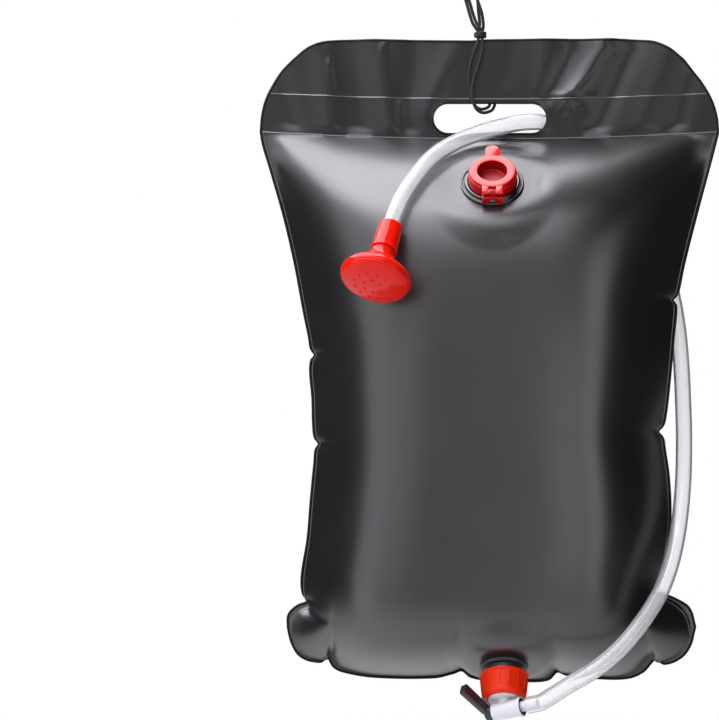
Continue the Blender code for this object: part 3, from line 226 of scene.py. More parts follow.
floor_finish, floor_tree, floor_shader = new_material("floor_finish")
wire(floor_tree, floor_shader, Base_Color=FLOOR_COLOUR, Roughness=0.75)
floor_mesh = bpy.data.meshes.new("floor")
corners = [(x * FLOOR_HALF, y * FLOOR_HALF, -FLOOR_DROP) for x, y in ((-1, -1), (1, -1), (1, 1), (-1, 1))]
floor_mesh.from_pydata(corners, [], [(0, 1, 2, 3)])
object_from("floor", floor_mesh, floor_finish, smooth=0.0)


# Hanging cord and its knot
# Black braided polyester cord, 2.8 mm thick. It goes twice over the hook and through the handle slot, and
# its ends are tied together and wound round the strands just above the bag's top edge.

CORD_RADIUS = 0.0014
CORD_STEP = 0.0009
CORD_SIDES = 14
CORD_ROUTE = (
    (0.0088, -0.0016, -0.0497), (0.0086, -0.0016, -0.0467), (0.0064, -0.0018, -0.0435),
    (0.0036, -0.0019, -0.0390), (0.0009, -0.0019, -0.0306), (-0.0018, -0.0018, -0.0210),
    (-0.0044, -0.0016, -0.0122), (-0.0056, -0.0015, -0.0046), (-0.0039, -0.0015, -0.0005),
    (0.0002, -0.0016, 0.0014), (0.0043, -0.0015, -0.0005), (0.0060, -0.0015, -0.0046),
    (0.0069, -0.0015, -0.0122), (0.0084, -0.0014, -0.0201), (0.0115, -0.0003, -0.0295),
    (0.0130, 0.0007, -0.0382), (0.0130, 0.0014, -0.0436), (0.0120, 0.0016, -0.0467),
    (0.0120, 0.0017, -0.0522), (0.0126, 0.0029, -0.0552), (0.0146, 0.0032, -0.0624),
    (0.0172, 0.0038, -0.0728), (0.0203, 0.0045, -0.0868), (0.0225, 0.0048, -0.0990),
    (0.0234, 0.0044, -0.1074), (0.0216, 0.0026, -0.1142), (0.0172, 0.0004, -0.1170),
    (0.0124, -0.0024, -0.1178), (0.0079, -0.0049, -0.1156), (0.0049, -0.0060, -0.1106),
    (0.0035, -0.0061, -0.1036), (0.0033, -0.0060, -0.0966), (0.0049, -0.0054, -0.0889),
    (0.0079, -0.0044, -0.0792), (0.0111, -0.0034, -0.0684), (0.0124, -0.0030, -0.0605),
    (0.0124, -0.0029, -0.0556), (0.0120, -0.0017, -0.0522), (0.0120, -0.0016, -0.0467),
    (0.0099, -0.0017, -0.0435), (0.0069, -0.0015, -0.0388), (0.0039, -0.0005, -0.0304),
    (0.0011, 0.0007, -0.0206), (-0.0020, 0.0014, -0.0127), (-0.0056, 0.0016, -0.0041),
    (-0.0039, 0.0016, -0.0001), (0.0002, 0.0016, 0.0016), (0.0043, 0.0016, -0.0001),
    (0.0059, 0.0016, -0.0041), (0.0070, 0.0016, -0.0118), (0.0082, 0.0018, -0.0196),
    (0.0089, 0.0019, -0.0292), (0.0099, 0.0020, -0.0380), (0.0096, 0.0018, -0.0436),
    (0.0088, 0.0016, -0.0467), (0.0088, 0.0017, -0.0522), (0.0091, 0.0029, -0.0552),
    (0.0107, 0.0030, -0.0624), (0.0129, 0.0030, -0.0729), (0.0153, 0.0030, -0.0870),
    (0.0174, 0.0030, -0.0992), (0.0188, 0.0029, -0.1062), (0.0186, 0.0023, -0.1110),
    (0.0162, 0.0009, -0.1134), (0.0123, -0.0007, -0.1146), (0.0085, -0.0021, -0.1139),
    (0.0053, -0.0028, -0.1108), (0.0023, -0.0029, -0.1047), (0.0008, -0.0029, -0.0963),
    (0.0005, -0.0029, -0.0867), (0.0015, -0.0029, -0.0771), (0.0041, -0.0028, -0.0675),
    (0.0071, -0.0029, -0.0596), (0.0086, -0.0027, -0.0550), (0.0088, -0.0017, -0.0516),
)
KNOT_CENTRE = Vector((0.0104, 0.0, -0.0496))
KNOT_TURNS = 3
KNOT_POINTS = 24
KNOT_SIDES = 12
KNOT_WIRE = 0.00095
KNOT_RADIUS = 0.0046
CORD_BLACK = (0.0045, 0.0045, 0.0055)
# How many points a smooth line gets from one point of its route to the next
ROUTE_STEPS = 12


def smooth_line(points, stretch=ROUTE_STEPS):
    """Many points along a smooth curve through the points of a route."""
    points = [Vector(p) for p in points]
    ends = [2 * points[0] - points[1], *points, 2 * points[-1] - points[-2]]
    line = []
    for a, b, c, d in zip(ends, ends[1:], ends[2:], ends[3:]):
        for k in range(stretch):
            t = k / stretch
            square, cube = 2 * a - 5 * b + 4 * c - d, 3 * b - a - 3 * c + d
            line.append(0.5 * (2 * b + (c - a) * t + square * t * t + cube * t ** 3))
    line.append(points[-1])
    return line


def spaced(points, step):
    """The same line with its points at even steps along it."""
    reach = np.concatenate(([0.0], np.cumsum([(b - a).length for a, b in zip(points, points[1:])])))
    wanted = np.linspace(0.0, reach[-1], max(2, round(reach[-1] / step) + 1))
    columns = [np.interp(wanted, reach, [p[k] for p in points]) for k in range(3)]
    return [Vector(p) for p in zip(*columns)]


def tube_mesh(name, path, radius, sides, wall=0.0):
    """A round tube along a path: solid with closed ends, or open with a wall. Its UV runs round and along."""
    work = bmesh.new()
    run = work.loops.layers.uv.new("run")
    across = None
    reach = 0.0
    rings = []
    for i, place in enumerate(path):
        ahead = (path[min(i + 1, len(path) - 1)] - path[max(i - 1, 0)]).normalized()
        if across is None:
            across = ahead.orthogonal().normalized()
        across = (across - ahead * across.dot(ahead)).normalized()
        up = ahead.cross(across)
        if i:
            reach += (place - path[i - 1]).length
        layers = []
        for size in (radius, radius - wall) if wall else (radius,):
            ring = []
            for k in range(sides):
                angle = TURN * k / sides
                ring.append(work.verts.new(place + size * (math.cos(angle) * across + math.sin(angle) * up)))
            layers.append(ring)
        rings.append((reach, layers))

    def skin(low, high, low_reach, high_reach, inwards):
        for k in range(sides):
            corners = [low[k], low[(k + 1) % sides], high[(k + 1) % sides], high[k]]
            runs = [(k, low_reach), (k + 1, low_reach), (k + 1, high_reach), (k, high_reach)]
            if inwards:
                corners, runs = corners[::-1], runs[::-1]
            face = work.faces.new(corners)
            for loop, (turn, along) in zip(face.loops, runs):
                loop[run].uv = (turn / sides, along)

    for (low_reach, low), (high_reach, high) in zip(rings, rings[1:]):
        for layer in range(len(low)):
            skin(low[layer], high[layer], low_reach, high_reach, layer == 1)
    for (at, ends), start in ((rings[0], True), (rings[-1], False)):
        if wall:
            skin(ends[0], ends[1], at, at, start)
        else:
            work.faces.new(ends[0][::-1] if start else ends[0])
    return mesh_of(name, work)


def braid(name, colour, plaits, strand):
    """A braided cord: two sets of strands that cross, as a bump on the cord's own round-and-along UV, with
    painted shade in the gaps between strands and a painted highlight on their crowns.
    """
    made, tree, shader = new_material(name)
    uv = tree.nodes.new("ShaderNodeUVMap")
    uv.uv_map = "run"
    run = node(tree, "ShaderNodeSeparateXYZ", uv.outputs[0]).outputs
    turns = maths(tree, "MULTIPLY", run["X"], plaits)
    steps = maths(tree, "DIVIDE", run["Y"], strand)
    waves = []
    for operation in ("ADD", "SUBTRACT"):
        waves.append(maths(tree, "SINE", maths(tree, "MULTIPLY", maths(tree, operation, turns, steps), TURN)))
    woven = maths(tree, "MAXIMUM", *waves)
    bump = node(tree, "ShaderNodeBump", Strength=0.9, Distance=0.0002, Height=woven).outputs[0]
    # The weave's height also scales the colour: darker in the gaps and paler on the crowns, as painted shade
    # and highlight.
    shade = node(tree, "ShaderNodeMapRange", woven, From_Min=-1.0, To_Min=0.35, To_Max=1.6).outputs[0]
    wire(tree, shader, Base_Color=scaled(tree, colour, shade), Normal=bump, Roughness=0.75, Sheen_Weight=0.06)
    return made


cord_finish = braid("braided_cord", CORD_BLACK, plaits=8.0, strand=0.0016)
cord_path = spaced(smooth_line(CORD_ROUTE), CORD_STEP)
cord = object_from("hanging_cord_braid", tube_mesh("cord", cord_path, CORD_RADIUS, CORD_SIDES), cord_finish)
knot_path = []
for k in range(KNOT_TURNS * KNOT_POINTS + 1):
    angle = TURN * k / KNOT_POINTS
    rise = (k / (KNOT_TURNS * KNOT_POINTS) - 0.5) * (KNOT_TURNS - 1) * 2 * KNOT_WIRE
    around = Vector((KNOT_RADIUS * math.cos(angle), KNOT_RADIUS * math.sin(angle), rise))
    knot_path.append(KNOT_CENTRE + around)
knot = object_from("cord_knot_winding", tube_mesh("knot", knot_path, KNOT_WIRE, KNOT_SIDES), cord_finish)
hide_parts("hanging_cord")
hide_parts("cord_knot")
for piece in (cord, knot):
    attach(piece, "bag")


# Hose
# Clear extruded PVC, 14.4 mm outside with a 1.8 mm wall. It is pushed over the tap's barb, goes round the
# bag's right side and back through the handle slot, and carries the shower head on its end.

HOSE_RADIUS = 0.0072
HOSE_WALL = 0.0018
HOSE_START = 0.0227
HOSE_STRAIGHT = 0.011
HOSE_STEP = 0.004
HOSE_SIDES = 32
HOSE_ROUTE = (
    (0.0845, -0.0925, -0.6076), (0.1073, -0.0895, -0.5945), (0.1287, -0.0820, -0.5776),
    (0.1480, -0.0700, -0.5565), (0.1643, -0.0540, -0.5333), (0.1754, -0.0360, -0.5081),
    (0.1831, -0.0180, -0.4774), (0.1876, -0.0050, -0.4415), (0.1892, 0.0050, -0.4043),
    (0.1889, 0.0130, -0.3693), (0.1877, 0.0210, -0.3341), (0.1849, 0.0310, -0.3004),
    (0.1791, 0.0430, -0.2672), (0.1659, 0.0540, -0.2311), (0.1456, 0.0600, -0.1949),
    (0.1212, 0.0560, -0.1637), (0.0964, 0.0390, -0.1418), (0.0773, 0.0200, -0.1293),
    (0.0638, 0.0086, -0.1253), (0.0457, 0.0002, -0.1265), (0.0277, -0.0087, -0.1309),
    (0.0146, -0.0133, -0.1350), (0.0016, -0.0204, -0.1402), (-0.0095, -0.0290, -0.1455),
    (-0.0189, -0.0368, -0.1513), (-0.0282, -0.0466, -0.1585), (-0.0366, -0.0555, -0.1676),
    (-0.0446, -0.0652, -0.1788), (-0.0506, -0.0718, -0.1885), (-0.0566, -0.0779, -0.1995),
)
BARREL_PLACE = Vector((0.0309, -0.078050, -0.630316))
BARREL_AXIS = Vector((0.894934, -0.378397, 0.236449))
HEAD_PLACE = Vector((-0.0643, -0.0896, -0.2204))
HEAD_AXIS = Vector((-0.205108, -0.570300, -0.795418))
SLEEVE_CHAMFER = 0.0014
SOCKET_DEPTH = 0.0107
HOSE_TINT = (0.965, 0.975, 0.980, 1.0)

hose_finish, hose_tree, hose_shader = new_material("clear_hose")
hose_place = node(hose_tree, "ShaderNodeTexCoord").outputs["Object"]
hose_haze = node(hose_tree, "ShaderNodeTexNoise", Vector=hose_place, Scale=45.0, Detail=3.0).outputs["Fac"]
hose_gloss = node(hose_tree, "ShaderNodeMapRange", hose_haze, To_Min=0.06, To_Max=0.22).outputs[0]
wire(hose_tree, hose_shader, Base_Color=HOSE_TINT, Transmission_Weight=0.82, IOR=1.36, Roughness=hose_gloss)

hose_first = [BARREL_PLACE + BARREL_AXIS * (HOSE_START + out) for out in (0.0, HOSE_STRAIGHT)]
hose_last = [HEAD_PLACE + HEAD_AXIS * out for out in (-SLEEVE_CHAMFER, SOCKET_DEPTH)]
hose_line = smooth_line([*hose_first, *HOSE_ROUTE, *hose_last])
hose_path = spaced([hose_first[0], *hose_line[ROUTE_STEPS:-ROUTE_STEPS], hose_last[-1]], HOSE_STEP)
hose_mesh = tube_mesh("hose", hose_path, HOSE_RADIUS, HOSE_SIDES, HOSE_WALL)
hose = object_from("clear_hose", hose_mesh, hose_finish)
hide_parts("hose")
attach(hose, "bag")


# Bag sheets
# Two sheets of satin black PVC film, 0.6 mm thick, cut 400 by 600 mm and welded round the edge and twice
# across the header. Filled, they bulge apart, draw the sides in between puckers, and stand out in two ears.

BAG_WIDTH = 0.400
BAG_HEIGHT = 0.5593
BAG_PLACE = Vector((0.019, 0.0, -0.054))
BAG_GAP = 0.0003
BAG_SHEET = 0.0006
BAG_BULGE = 0.092
BAG_REACH = (0.056, 0.028)
WELD_MIDDLE = 0.155
# The grid of each sheet: how tightly it follows its ends, how evenly its columns lie, and how its rows crowd
# towards the bottom
SHEET_COLUMNS = 188
HEADER_ROWS = 44
CHAMBER_ROWS = 196
EDGE_HOLD = 16
EVEN_COLUMNS = 0.6
ROW_CROWDING = 1.25
# Over how much of the side's height its notches are evened out, how near the bottom that stops, and how far
# into the sheet a notch draws the film
NOTCH_CALM = 0.030
NOTCH_STOP = 12
NOTCH_REACH = 0.011
SKIN_STEPS = 600
LEAST_AREA = 1e-10
# Above the weld and beside the cord the header's folds die out
WELD_CALM = 0.010
CORD_SPOT = -0.006
CORD_CALM = 0.026
LEFT_EDGE = (
    (0.144, 1.002), (0.163, 0.993), (0.200, 0.962), (0.275, 0.902), (0.350, 0.853), (0.425, 0.814),
    (0.465, 0.791), (0.484, 0.782), (0.493, 0.764), (0.501, 0.781), (0.519, 0.786), (0.560, 0.776),
    (0.600, 0.773), (0.622, 0.766), (0.632, 0.747), (0.641, 0.762), (0.660, 0.767), (0.720, 0.783),
    (0.780, 0.797), (0.840, 0.823), (0.868, 0.816), (0.878, 0.790), (0.885, 0.840), (0.899, 0.880),
    (0.918, 0.884),
)
RIGHT_EDGE = (
    (0.144, 0.998), (0.163, 0.985), (0.200, 0.958), (0.275, 0.902), (0.350, 0.849), (0.390, 0.826),
    (0.400, 0.816), (0.407, 0.796), (0.414, 0.812), (0.430, 0.813), (0.465, 0.803), (0.535, 0.785),
    (0.585, 0.769), (0.603, 0.757), (0.613, 0.734), (0.622, 0.755), (0.640, 0.764), (0.690, 0.783),
    (0.750, 0.788), (0.810, 0.768), (0.848, 0.728), (0.862, 0.722),
    (0.873, 0.800), (0.888, 0.868), (0.918, 0.897),
)
BOTTOM_SEAM = (
    (-0.884, 0.918), (-0.872, 0.938), (-0.845, 0.958), (-0.810, 0.968), (-0.770, 0.972), (-0.735, 0.972),
    (-0.713, 0.964), (-0.685, 0.980), (-0.640, 0.988), (-0.508, 0.996), (-0.245, 0.997), (-0.158, 0.990),
    (-0.122, 0.986), (-0.085, 0.996), (0.000, 1.001), (0.175, 1.003), (0.258, 1.000), (0.293, 0.988),
    (0.335, 0.993), (0.460, 0.998), (0.600, 0.998), (0.670, 0.988), (0.725, 0.968), (0.762, 0.976),
    (0.835, 0.966), (0.877, 0.946), (0.897, 0.918),
)
TOP_EDGE = (
    (-0.858, 0.031), (-0.790, 0.012), (-0.700, 0.003), (-0.480, 0.001), (-0.100, 0.003), (0.000, 0.001),
    (0.300, 0.000), (0.690, 0.002), (0.775, 0.012), (0.845, 0.031),
)
LEFT_SHOULDER = (
    (0.031, 0.858), (0.050, 0.910), (0.069, 0.945), (0.094, 0.979), (0.119, 0.996), (0.144, 1.002),
)
RIGHT_SHOULDER = (
    (0.031, 0.845), (0.050, 0.888), (0.069, 0.928), (0.094, 0.968), (0.119, 0.990), (0.144, 0.998),
)
FILLER_PLACE = Vector((0.021, -0.060170, -0.184300))
FILLER_AXIS = Vector((0.0, -0.731354, 0.681998))
FILLER_SEAT = (0.030, 0.062)
OUTLET_PLACE = Vector((0.0309, -0.056483, -0.595800))
OUTLET_AXIS = Vector((0.0, -0.529919, -0.848048))
OUTLET_SEAT = (0.026, 0.051)
SLOT_CENTRE = Vector((0.019, 0.0, -0.1227))
SLOT_LENGTH = 0.0985
SLOT_HEIGHT = 0.0254
FILLER_HOLE = 0.0175
OUTLET_HOLE = 0.013
HOLE_POINTS = 64
# Half the length of what cuts the slot, and of what cuts the two holes
SLOT_CUT = 0.02
FITTING_CUT = 0.006
PVC_BLACK = (0.0040, 0.0039, 0.0046)
RIM_BLACK = (0.003, 0.003, 0.003)
SLACK_SHINE = 0.52
RIM_WIDTH = 0.0016
SLACK_WIDTH = 0.004
SLOT_POINTS = 24

# Puckers of the chamber: where each starts at a seam and where it dies out, as out and down from the middle
# of the top edge, then its half width and its depth
CREASE_FALL = 1.5
PUCKER_SPREAD = 1.2
PUCKER_LIMIT = 1.4
LEAST_PUCKER = 1e-6
PUCKERS = (
    ((-0.153, 0.2757), (-0.139, 0.278), 0.0037, 0.0016), ((-0.153, 0.2757), (-0.144, 0.271), 0.0030, 0.0008),
    ((-0.150, 0.3536), (-0.136, 0.356), 0.0041, 0.0016), ((-0.150, 0.3536), (-0.141, 0.351), 0.0029, 0.0007),
    ((-0.158, 0.4910), (-0.144, 0.492), 0.0045, 0.0025), ((-0.158, 0.4910), (-0.148, 0.487), 0.0034, 0.0011),
    ((0.160, 0.2276), (0.147, 0.231), 0.0037, 0.0014), ((0.160, 0.2276), (0.151, 0.224), 0.0030, 0.0007),
    ((0.147, 0.3430), (0.133, 0.346), 0.0041, 0.0017), ((0.147, 0.3430), (0.137, 0.339), 0.0030, 0.0008),
    ((0.144, 0.4820), (0.130, 0.484), 0.0045, 0.0025), ((0.144, 0.4820), (0.137, 0.475), 0.0034, 0.0011),
    ((-0.143, 0.5390), (-0.131, 0.525), 0.0034, 0.0034), ((-0.025, 0.5515), (-0.028, 0.534), 0.0034, 0.0027),
    ((-0.025, 0.5515), (-0.018, 0.541), 0.0026, 0.0013), ((0.059, 0.5525), (0.062, 0.540), 0.0030, 0.0023),
    ((0.145, 0.5415), (0.136, 0.527), 0.0034, 0.0034), ((-0.199, 0.0830), (-0.168, 0.113), 0.0045, 0.0022),
    ((0.197, 0.0840), (0.142, 0.145), 0.0070, 0.0036), ((0.197, 0.0840), (0.159, 0.111), 0.0045, 0.0024),
    ((0.044, 0.1270), (0.041, 0.142), 0.0030, 0.0016), ((0.188, 0.1100), (0.142, 0.174), 0.0060, 0.0024),
    ((-0.186, 0.1150), (-0.157, 0.159), 0.0060, 0.0020),
)
# Broad folds of the flat header, where both sheets lie together: both ends, half width and height
RIDGE_RISE = 1.7
RIDGES = (
    ((-0.150, -0.01), (-0.138, 0.09), 0.010, 0.0013), ((-0.124, -0.01), (-0.112, 0.09), 0.013, -0.0012),
    ((-0.104, -0.01), (-0.083, 0.09), 0.009, 0.0014), ((-0.066, 0.00), (-0.070, 0.09), 0.011, -0.0011),
    ((-0.012, -0.02), (-0.056, 0.06), 0.012, 0.0017), ((0.022, -0.01), (0.010, 0.03), 0.012, -0.0010),
    ((0.050, -0.01), (0.044, 0.09), 0.009, 0.0010), ((0.084, -0.01), (0.050, 0.05), 0.008, -0.0013),
    ((0.112, -0.01), (0.066, 0.055), 0.007, 0.0021), ((0.128, 0.00), (0.092, 0.08), 0.010, -0.0017),
    ((0.160, 0.00), (0.128, 0.09), 0.012, 0.0012), ((0.176, 0.03), (0.160, 0.09), 0.009, -0.0010),
    ((-0.186, 0.03), (-0.168, 0.09), 0.010, -0.0010),
)
# Sharp creases of the header: where each starts and dies out, its half width and its height
FOLD_SPREAD = 0.5
FOLDS = (
    ((-0.078, 0.055), (-0.079, 0.082), 0.0022, -0.0014), ((0.069, 0.000), (0.069, 0.048), 0.0022, -0.0012),
    ((0.069, 0.049), (0.068, 0.082), 0.0022, -0.0017), ((0.069, 0.049), (0.100, 0.014), 0.0024, 0.0019),
    ((0.069, 0.049), (0.092, 0.068), 0.0024, -0.0015), ((0.069, 0.049), (0.050, 0.066), 0.0024, -0.0015),
    ((0.069, 0.049), (0.040, 0.047), 0.0024, 0.0012), ((0.112, 0.002), (0.084, 0.034), 0.0027, -0.0020),
    ((0.069, 0.049), (0.104, 0.050), 0.0030, 0.0014), ((-0.141, 0.020), (-0.136, 0.070), 0.0027, 0.0012),
    ((-0.096, 0.004), (-0.088, 0.045), 0.0024, 0.0012),
)


def read(table, keys):
    """Reads a table of (key, value) shares on a smooth line through its points."""
    known = np.array(table)
    slopes = np.empty(len(known))
    slopes[1:-1] = (known[2:, 1] - known[:-2, 1]) / (known[2:, 0] - known[:-2, 0])
    slopes[0] = (known[1, 1] - known[0, 1]) / (known[1, 0] - known[0, 0])
    slopes[-1] = (known[-1, 1] - known[-2, 1]) / (known[-1, 0] - known[-2, 0])
    keys = np.clip(keys, known[0, 0], known[-1, 0])
    i = np.clip(np.searchsorted(known[:, 0], keys, side="right") - 1, 0, len(known) - 2)
    span = known[i + 1, 0] - known[i, 0]
    t = (keys - known[i, 0]) / span
    bend = t * t * (3 - 2 * t)
    rise = known[i, 1] + (known[i + 1, 1] - known[i, 1]) * bend
    return rise + span * (slopes[i] * t * (1 - t) ** 2 - slopes[i + 1] * t * t * (1 - t))


def weld_share(out):
    """How far down the header's lower weld is: it sags a little in the middle."""
    return WELD_MIDDLE + (LEFT_EDGE[0][0] - WELD_MIDDLE) * np.minimum(np.abs(out), 1.0) ** 2


def end_line(table, shares):
    out = table[0][0] + (table[-1][0] - table[0][0]) * shares
    return out, read(table, out)


def side_line(table, shares, side):
    down = table[0][0] + (table[-1][0] - table[0][0]) * shares
    return side * read(table, down), down


def weld_line(shares):
    out = -LEFT_EDGE[0][1] + (RIGHT_EDGE[0][1] + LEFT_EDGE[0][1]) * shares
    return out, weld_share(out)


def patch(top, bottom, left, right, across, down):
    """Places inside four edges, as out from the middle and down from the top, in metres."""
    found = []
    for k in (0, 1):
        place = (1 - across) * left[k] + across * right[k]
        for edge, weight in ((top, (1 - down) ** EDGE_HOLD), (bottom, down ** EDGE_HOLD)):
            first, last = edge[k][:, :1], edge[k][:, -1:]
            place = place + weight * (edge[k] - (1 - across) * first - across * last)
        found.append(place)
    return found[0] * BAG_WIDTH / 2, found[1] * BAG_HEIGHT


def header_and_chamber(calm, local):
    """The sheet's grid, header over chamber: out from the middle and down from the top, taut and as it lies.

    Taut, the sides run evenly past their notches. As it lies, each notch draws only the film near it inwards.
    """
    columns = np.linspace(0.0, 1.0, SHEET_COLUMNS)[None, :]
    across = EVEN_COLUMNS * columns + (1 - EVEN_COLUMNS) * (1 - np.cos(math.pi * columns)) / 2
    taut, laid = [], []
    for rows, top, bottom, left, right in (
        (HEADER_ROWS, end_line(TOP_EDGE, across), weld_line(across), LEFT_SHOULDER, RIGHT_SHOULDER),
        (CHAMBER_ROWS, weld_line(across), end_line(BOTTOM_SEAM, across), LEFT_EDGE, RIGHT_EDGE),
    ):
        down = np.linspace(0.0, 1.0, rows)[:, None]
        if rows == CHAMBER_ROWS:
            down = 1 - (1 - down) ** ROW_CROWDING
        sides = [side_line(left, down, -1), side_line(right, down, 1)]
        even = []
        for out, below in sides:
            wave = np.exp(-((below - below.T) / calm) ** 2) * np.minimum(1.0, (1.0 - down.T) * NOTCH_STOP)
            wave[[0, -1]] = 0.0
            wave[0, 0] = wave[-1, -1] = 1.0
            even.append((wave @ out / wave.sum(axis=1, keepdims=True), below))
        out, below = patch(top, bottom, *even, across, down)
        taut.append((out, below))
        moved = out.copy()
        for (real, _), (smooth, _), edge in zip(sides, even, (out[:, :1], out[:, -1:])):
            moved += (real - smooth) * BAG_WIDTH / 2 * np.exp(-np.abs(out - edge) / local)
        laid.append((moved, below))
    return [np.vstack((upper[k], lower[k][1:])) for upper, lower in (taut, laid) for k in (0, 1)]


def bulge(out, down, first_row):
    """How far the filled sheet stands off the seam's plane: a stretched skin held down all round its edge.

    The skin's height h meets h - reach * reach * (its Laplacian) = 1 on the flat cut. Conjugate gradients
    find it, on triangles between the grid's points.
    """
    out, down = out[first_row:], down[first_row:]
    place = (out + 1j * down).ravel()
    index = np.arange(out.size).reshape(out.shape)
    quad = index[:-1, :-1], index[1:, :-1], index[1:, 1:], index[:-1, 1:]
    first, second, weights, areas = [], [], [], np.zeros(out.size)
    for picked in ((0, 1, 2), (0, 2, 3), (0, 1, 3), (1, 2, 3)):
        corners = [quad[k].ravel() for k in picked]
        a, b, c = (place[corner] for corner in corners)
        area = np.maximum(np.abs(((b - a).conj() * (c - a)).imag) / 2, LEAST_AREA)
        for k in range(3):
            i, j, o = corners[k], corners[k - 2], corners[k - 1]
            first.append(i)
            second.append(j)
            dot = ((place[i] - place[o]).conj() * (place[j] - place[o])).real
            weights.append(np.maximum(dot / (8 * area), 0.0))
            areas += np.bincount(i, area / 6, out.size)
    first, second = np.concatenate(first), np.concatenate(second)
    low, high = down.min(), down.max()
    reach = BAG_REACH[0] + (BAG_REACH[1] - BAG_REACH[0]) * ((down.ravel() - low) / (high - low)) ** 4
    weights = np.concatenate(weights) * reach[first] * reach[second]
    free = np.zeros(out.shape, bool)
    free[1:-2, 2:-2] = True
    free = free.ravel()

    def stiffness(h):
        flow = weights * (h[first] - h[second])
        total = np.bincount(first, flow, h.size) - np.bincount(second, flow, h.size)
        return np.where(free, areas * h + total, 0.0)

    height = np.zeros(out.size)
    miss = np.where(free, areas, 0.0)
    step = miss.copy()
    before = miss @ miss
    for _ in range(SKIN_STEPS):
        push = stiffness(step)
        size = before / (step @ push)
        height += size * step
        miss -= size * push
        after = miss @ miss
        step = miss + after / before * step
        before = after
    slack = (1.0 - np.clip((height / height.max()).reshape(out.shape), 0.0, 1.0)) ** 2
    swollen = np.zeros((first_row + out.shape[0], out.shape[1]))
    swollen[first_row:] = BAG_BULGE * (1.0 - slack) / (1.0 + slack)
    return swollen


def beside(out, down, start, end):
    """How far each place is along a line and off it, and the line's length."""
    line = np.subtract(end, start)
    reach = float(np.hypot(*line))
    along = ((out - start[0]) * line[0] + (down - start[1]) * line[1]) / reach
    off = ((out - start[0]) * line[1] - (down - start[1]) * line[0]) / reach
    return along, off, reach


def creases(out, down, table, spread):
    """The sum of a table's creases: each is deepest where it starts, widens and dies out along its line."""
    found = np.zeros_like(out)
    for start, end, width, height in table:
        along, off, reach = beside(out, down, start, end)
        share = np.clip(along / reach, 0.0, 1.0)
        fade = (1.0 - share * share * (3 - 2 * share)) * np.exp(-(np.minimum(along, 0.0) / width) ** 2)
        found += height * fade / (1.0 + (off / (width * (1.0 + spread * share))) ** 2) ** CREASE_FALL
    return found


def ridges(out, down, table):
    """The sum of a table's broad folds: each runs evenly along its line and dies out past both ends."""
    found = np.zeros_like(out)
    for start, end, width, height in table:
        along, off, reach = beside(out, down, start, end)
        past = np.clip(-along, 0.0, None) + np.clip(along - reach, 0.0, None)
        found += RIDGE_RISE * height * np.exp(-(off / width) ** 2 - (past / width) ** 2)
    return found


def seated(points, place, axis, flat, blend):
    """Draws the sheet's inner face flat where a fitting is welded on, and lets it go again further out."""
    axis = np.array(axis)
    away = points - np.array(place)
    height = away @ axis
    out = np.linalg.norm(away - height[..., None] * axis, axis=-1)
    hold = 1.0 - np.clip((out - flat) / (blend - flat), 0.0, 1.0)
    hold = hold * hold * (3 - 2 * hold)
    return points + ((-BAG_SHEET - height) * hold)[..., None] * axis


def plastic_film():
    """Satin PVC film: cool charcoal, glossier where it is stretched tight, and dead black at its rim."""
    made, tree, shader = new_material("black_pvc_film")
    look = {"Color": (*PVC_BLACK, 1.0), "Roughness": 0.35, "Grain": 0.22, "Spread": 0.10}
    rolled = finish_group("rolled_film", grain=2600.0, mottle=9.0, smear=22.0)
    finish = group_node(tree, rolled, **look).outputs
    shares = {}
    for label in ("rim", "tight"):
        share = tree.nodes.new("ShaderNodeAttribute")
        share.attribute_name = label
        shares[label] = share.outputs["Fac"]
    edge = tree.nodes.new("ShaderNodeMix")
    edge.data_type = "RGBA"
    wire(tree, edge, Factor=shares["rim"], A=finish["Color"], B=(*RIM_BLACK, 1.0))
    shine = node(tree, "ShaderNodeMapRange", shares["tight"], To_Min=SLACK_SHINE).outputs[0]
    wire(tree, shader, Base_Color=edge.outputs["Result"], Specular_IOR_Level=shine)
    wire(tree, shader, Roughness=finish["Roughness"], Normal=finish["Normal"])
    wire(tree, shader, Coat_Weight=0.15, Coat_Roughness=0.25)
    return made


def settled(made):
    """Swaps an object's modifiers for the mesh that they give."""
    bpy.context.view_layer.update()
    mesh = bpy.data.meshes.new_from_object(made.evaluated_get(bpy.context.evaluated_depsgraph_get()))
    made.modifiers.clear()
    made.data = mesh
    return made


def arc(centre, radius, start, end, count):
    """Points round a centre, between two shares of a turn."""
    turns = [TURN * (start + (end - start) * k / count) for k in range(count + 1)]
    return [(centre[0] + radius * math.cos(a), centre[1] + radius * math.sin(a)) for a in turns]


def stadium(length, height, count):
    """The outline of a slot with round ends."""
    radius, straight = height / 2, (length - height) / 2
    return arc((straight, 0.0), radius, -0.25, 0.25, count) + arc((-straight, 0.0), radius, 0.25, 0.75, count)


def prism(name, outline, low, high, place):
    """A flat outline made a closed block between two heights, set in its place."""
    work = bmesh.new()
    rows = [[work.verts.new(place @ Vector((x, y, z))) for x, y in outline] for z in (low, high)]
    work.faces.new(rows[0][::-1])
    work.faces.new(rows[1])
    for k in range(len(outline)):
        n = (k + 1) % len(outline)
        work.faces.new((rows[0][k], rows[0][n], rows[1][n], rows[1][k]))
    bmesh.ops.recalc_face_normals(work, faces=work.faces)
    return mesh_of(name, work)


def stand(place, axis, across=(1.0, 0.0, 0.0)):
    """A place whose local Z is the axis and whose local X is as near to across as it can be."""
    z = Vector(axis).normalized()
    y = z.cross(Vector(across)).normalized()
    return Matrix.Translation(place) @ Matrix((y.cross(z), y, z)).transposed().to_4x4()


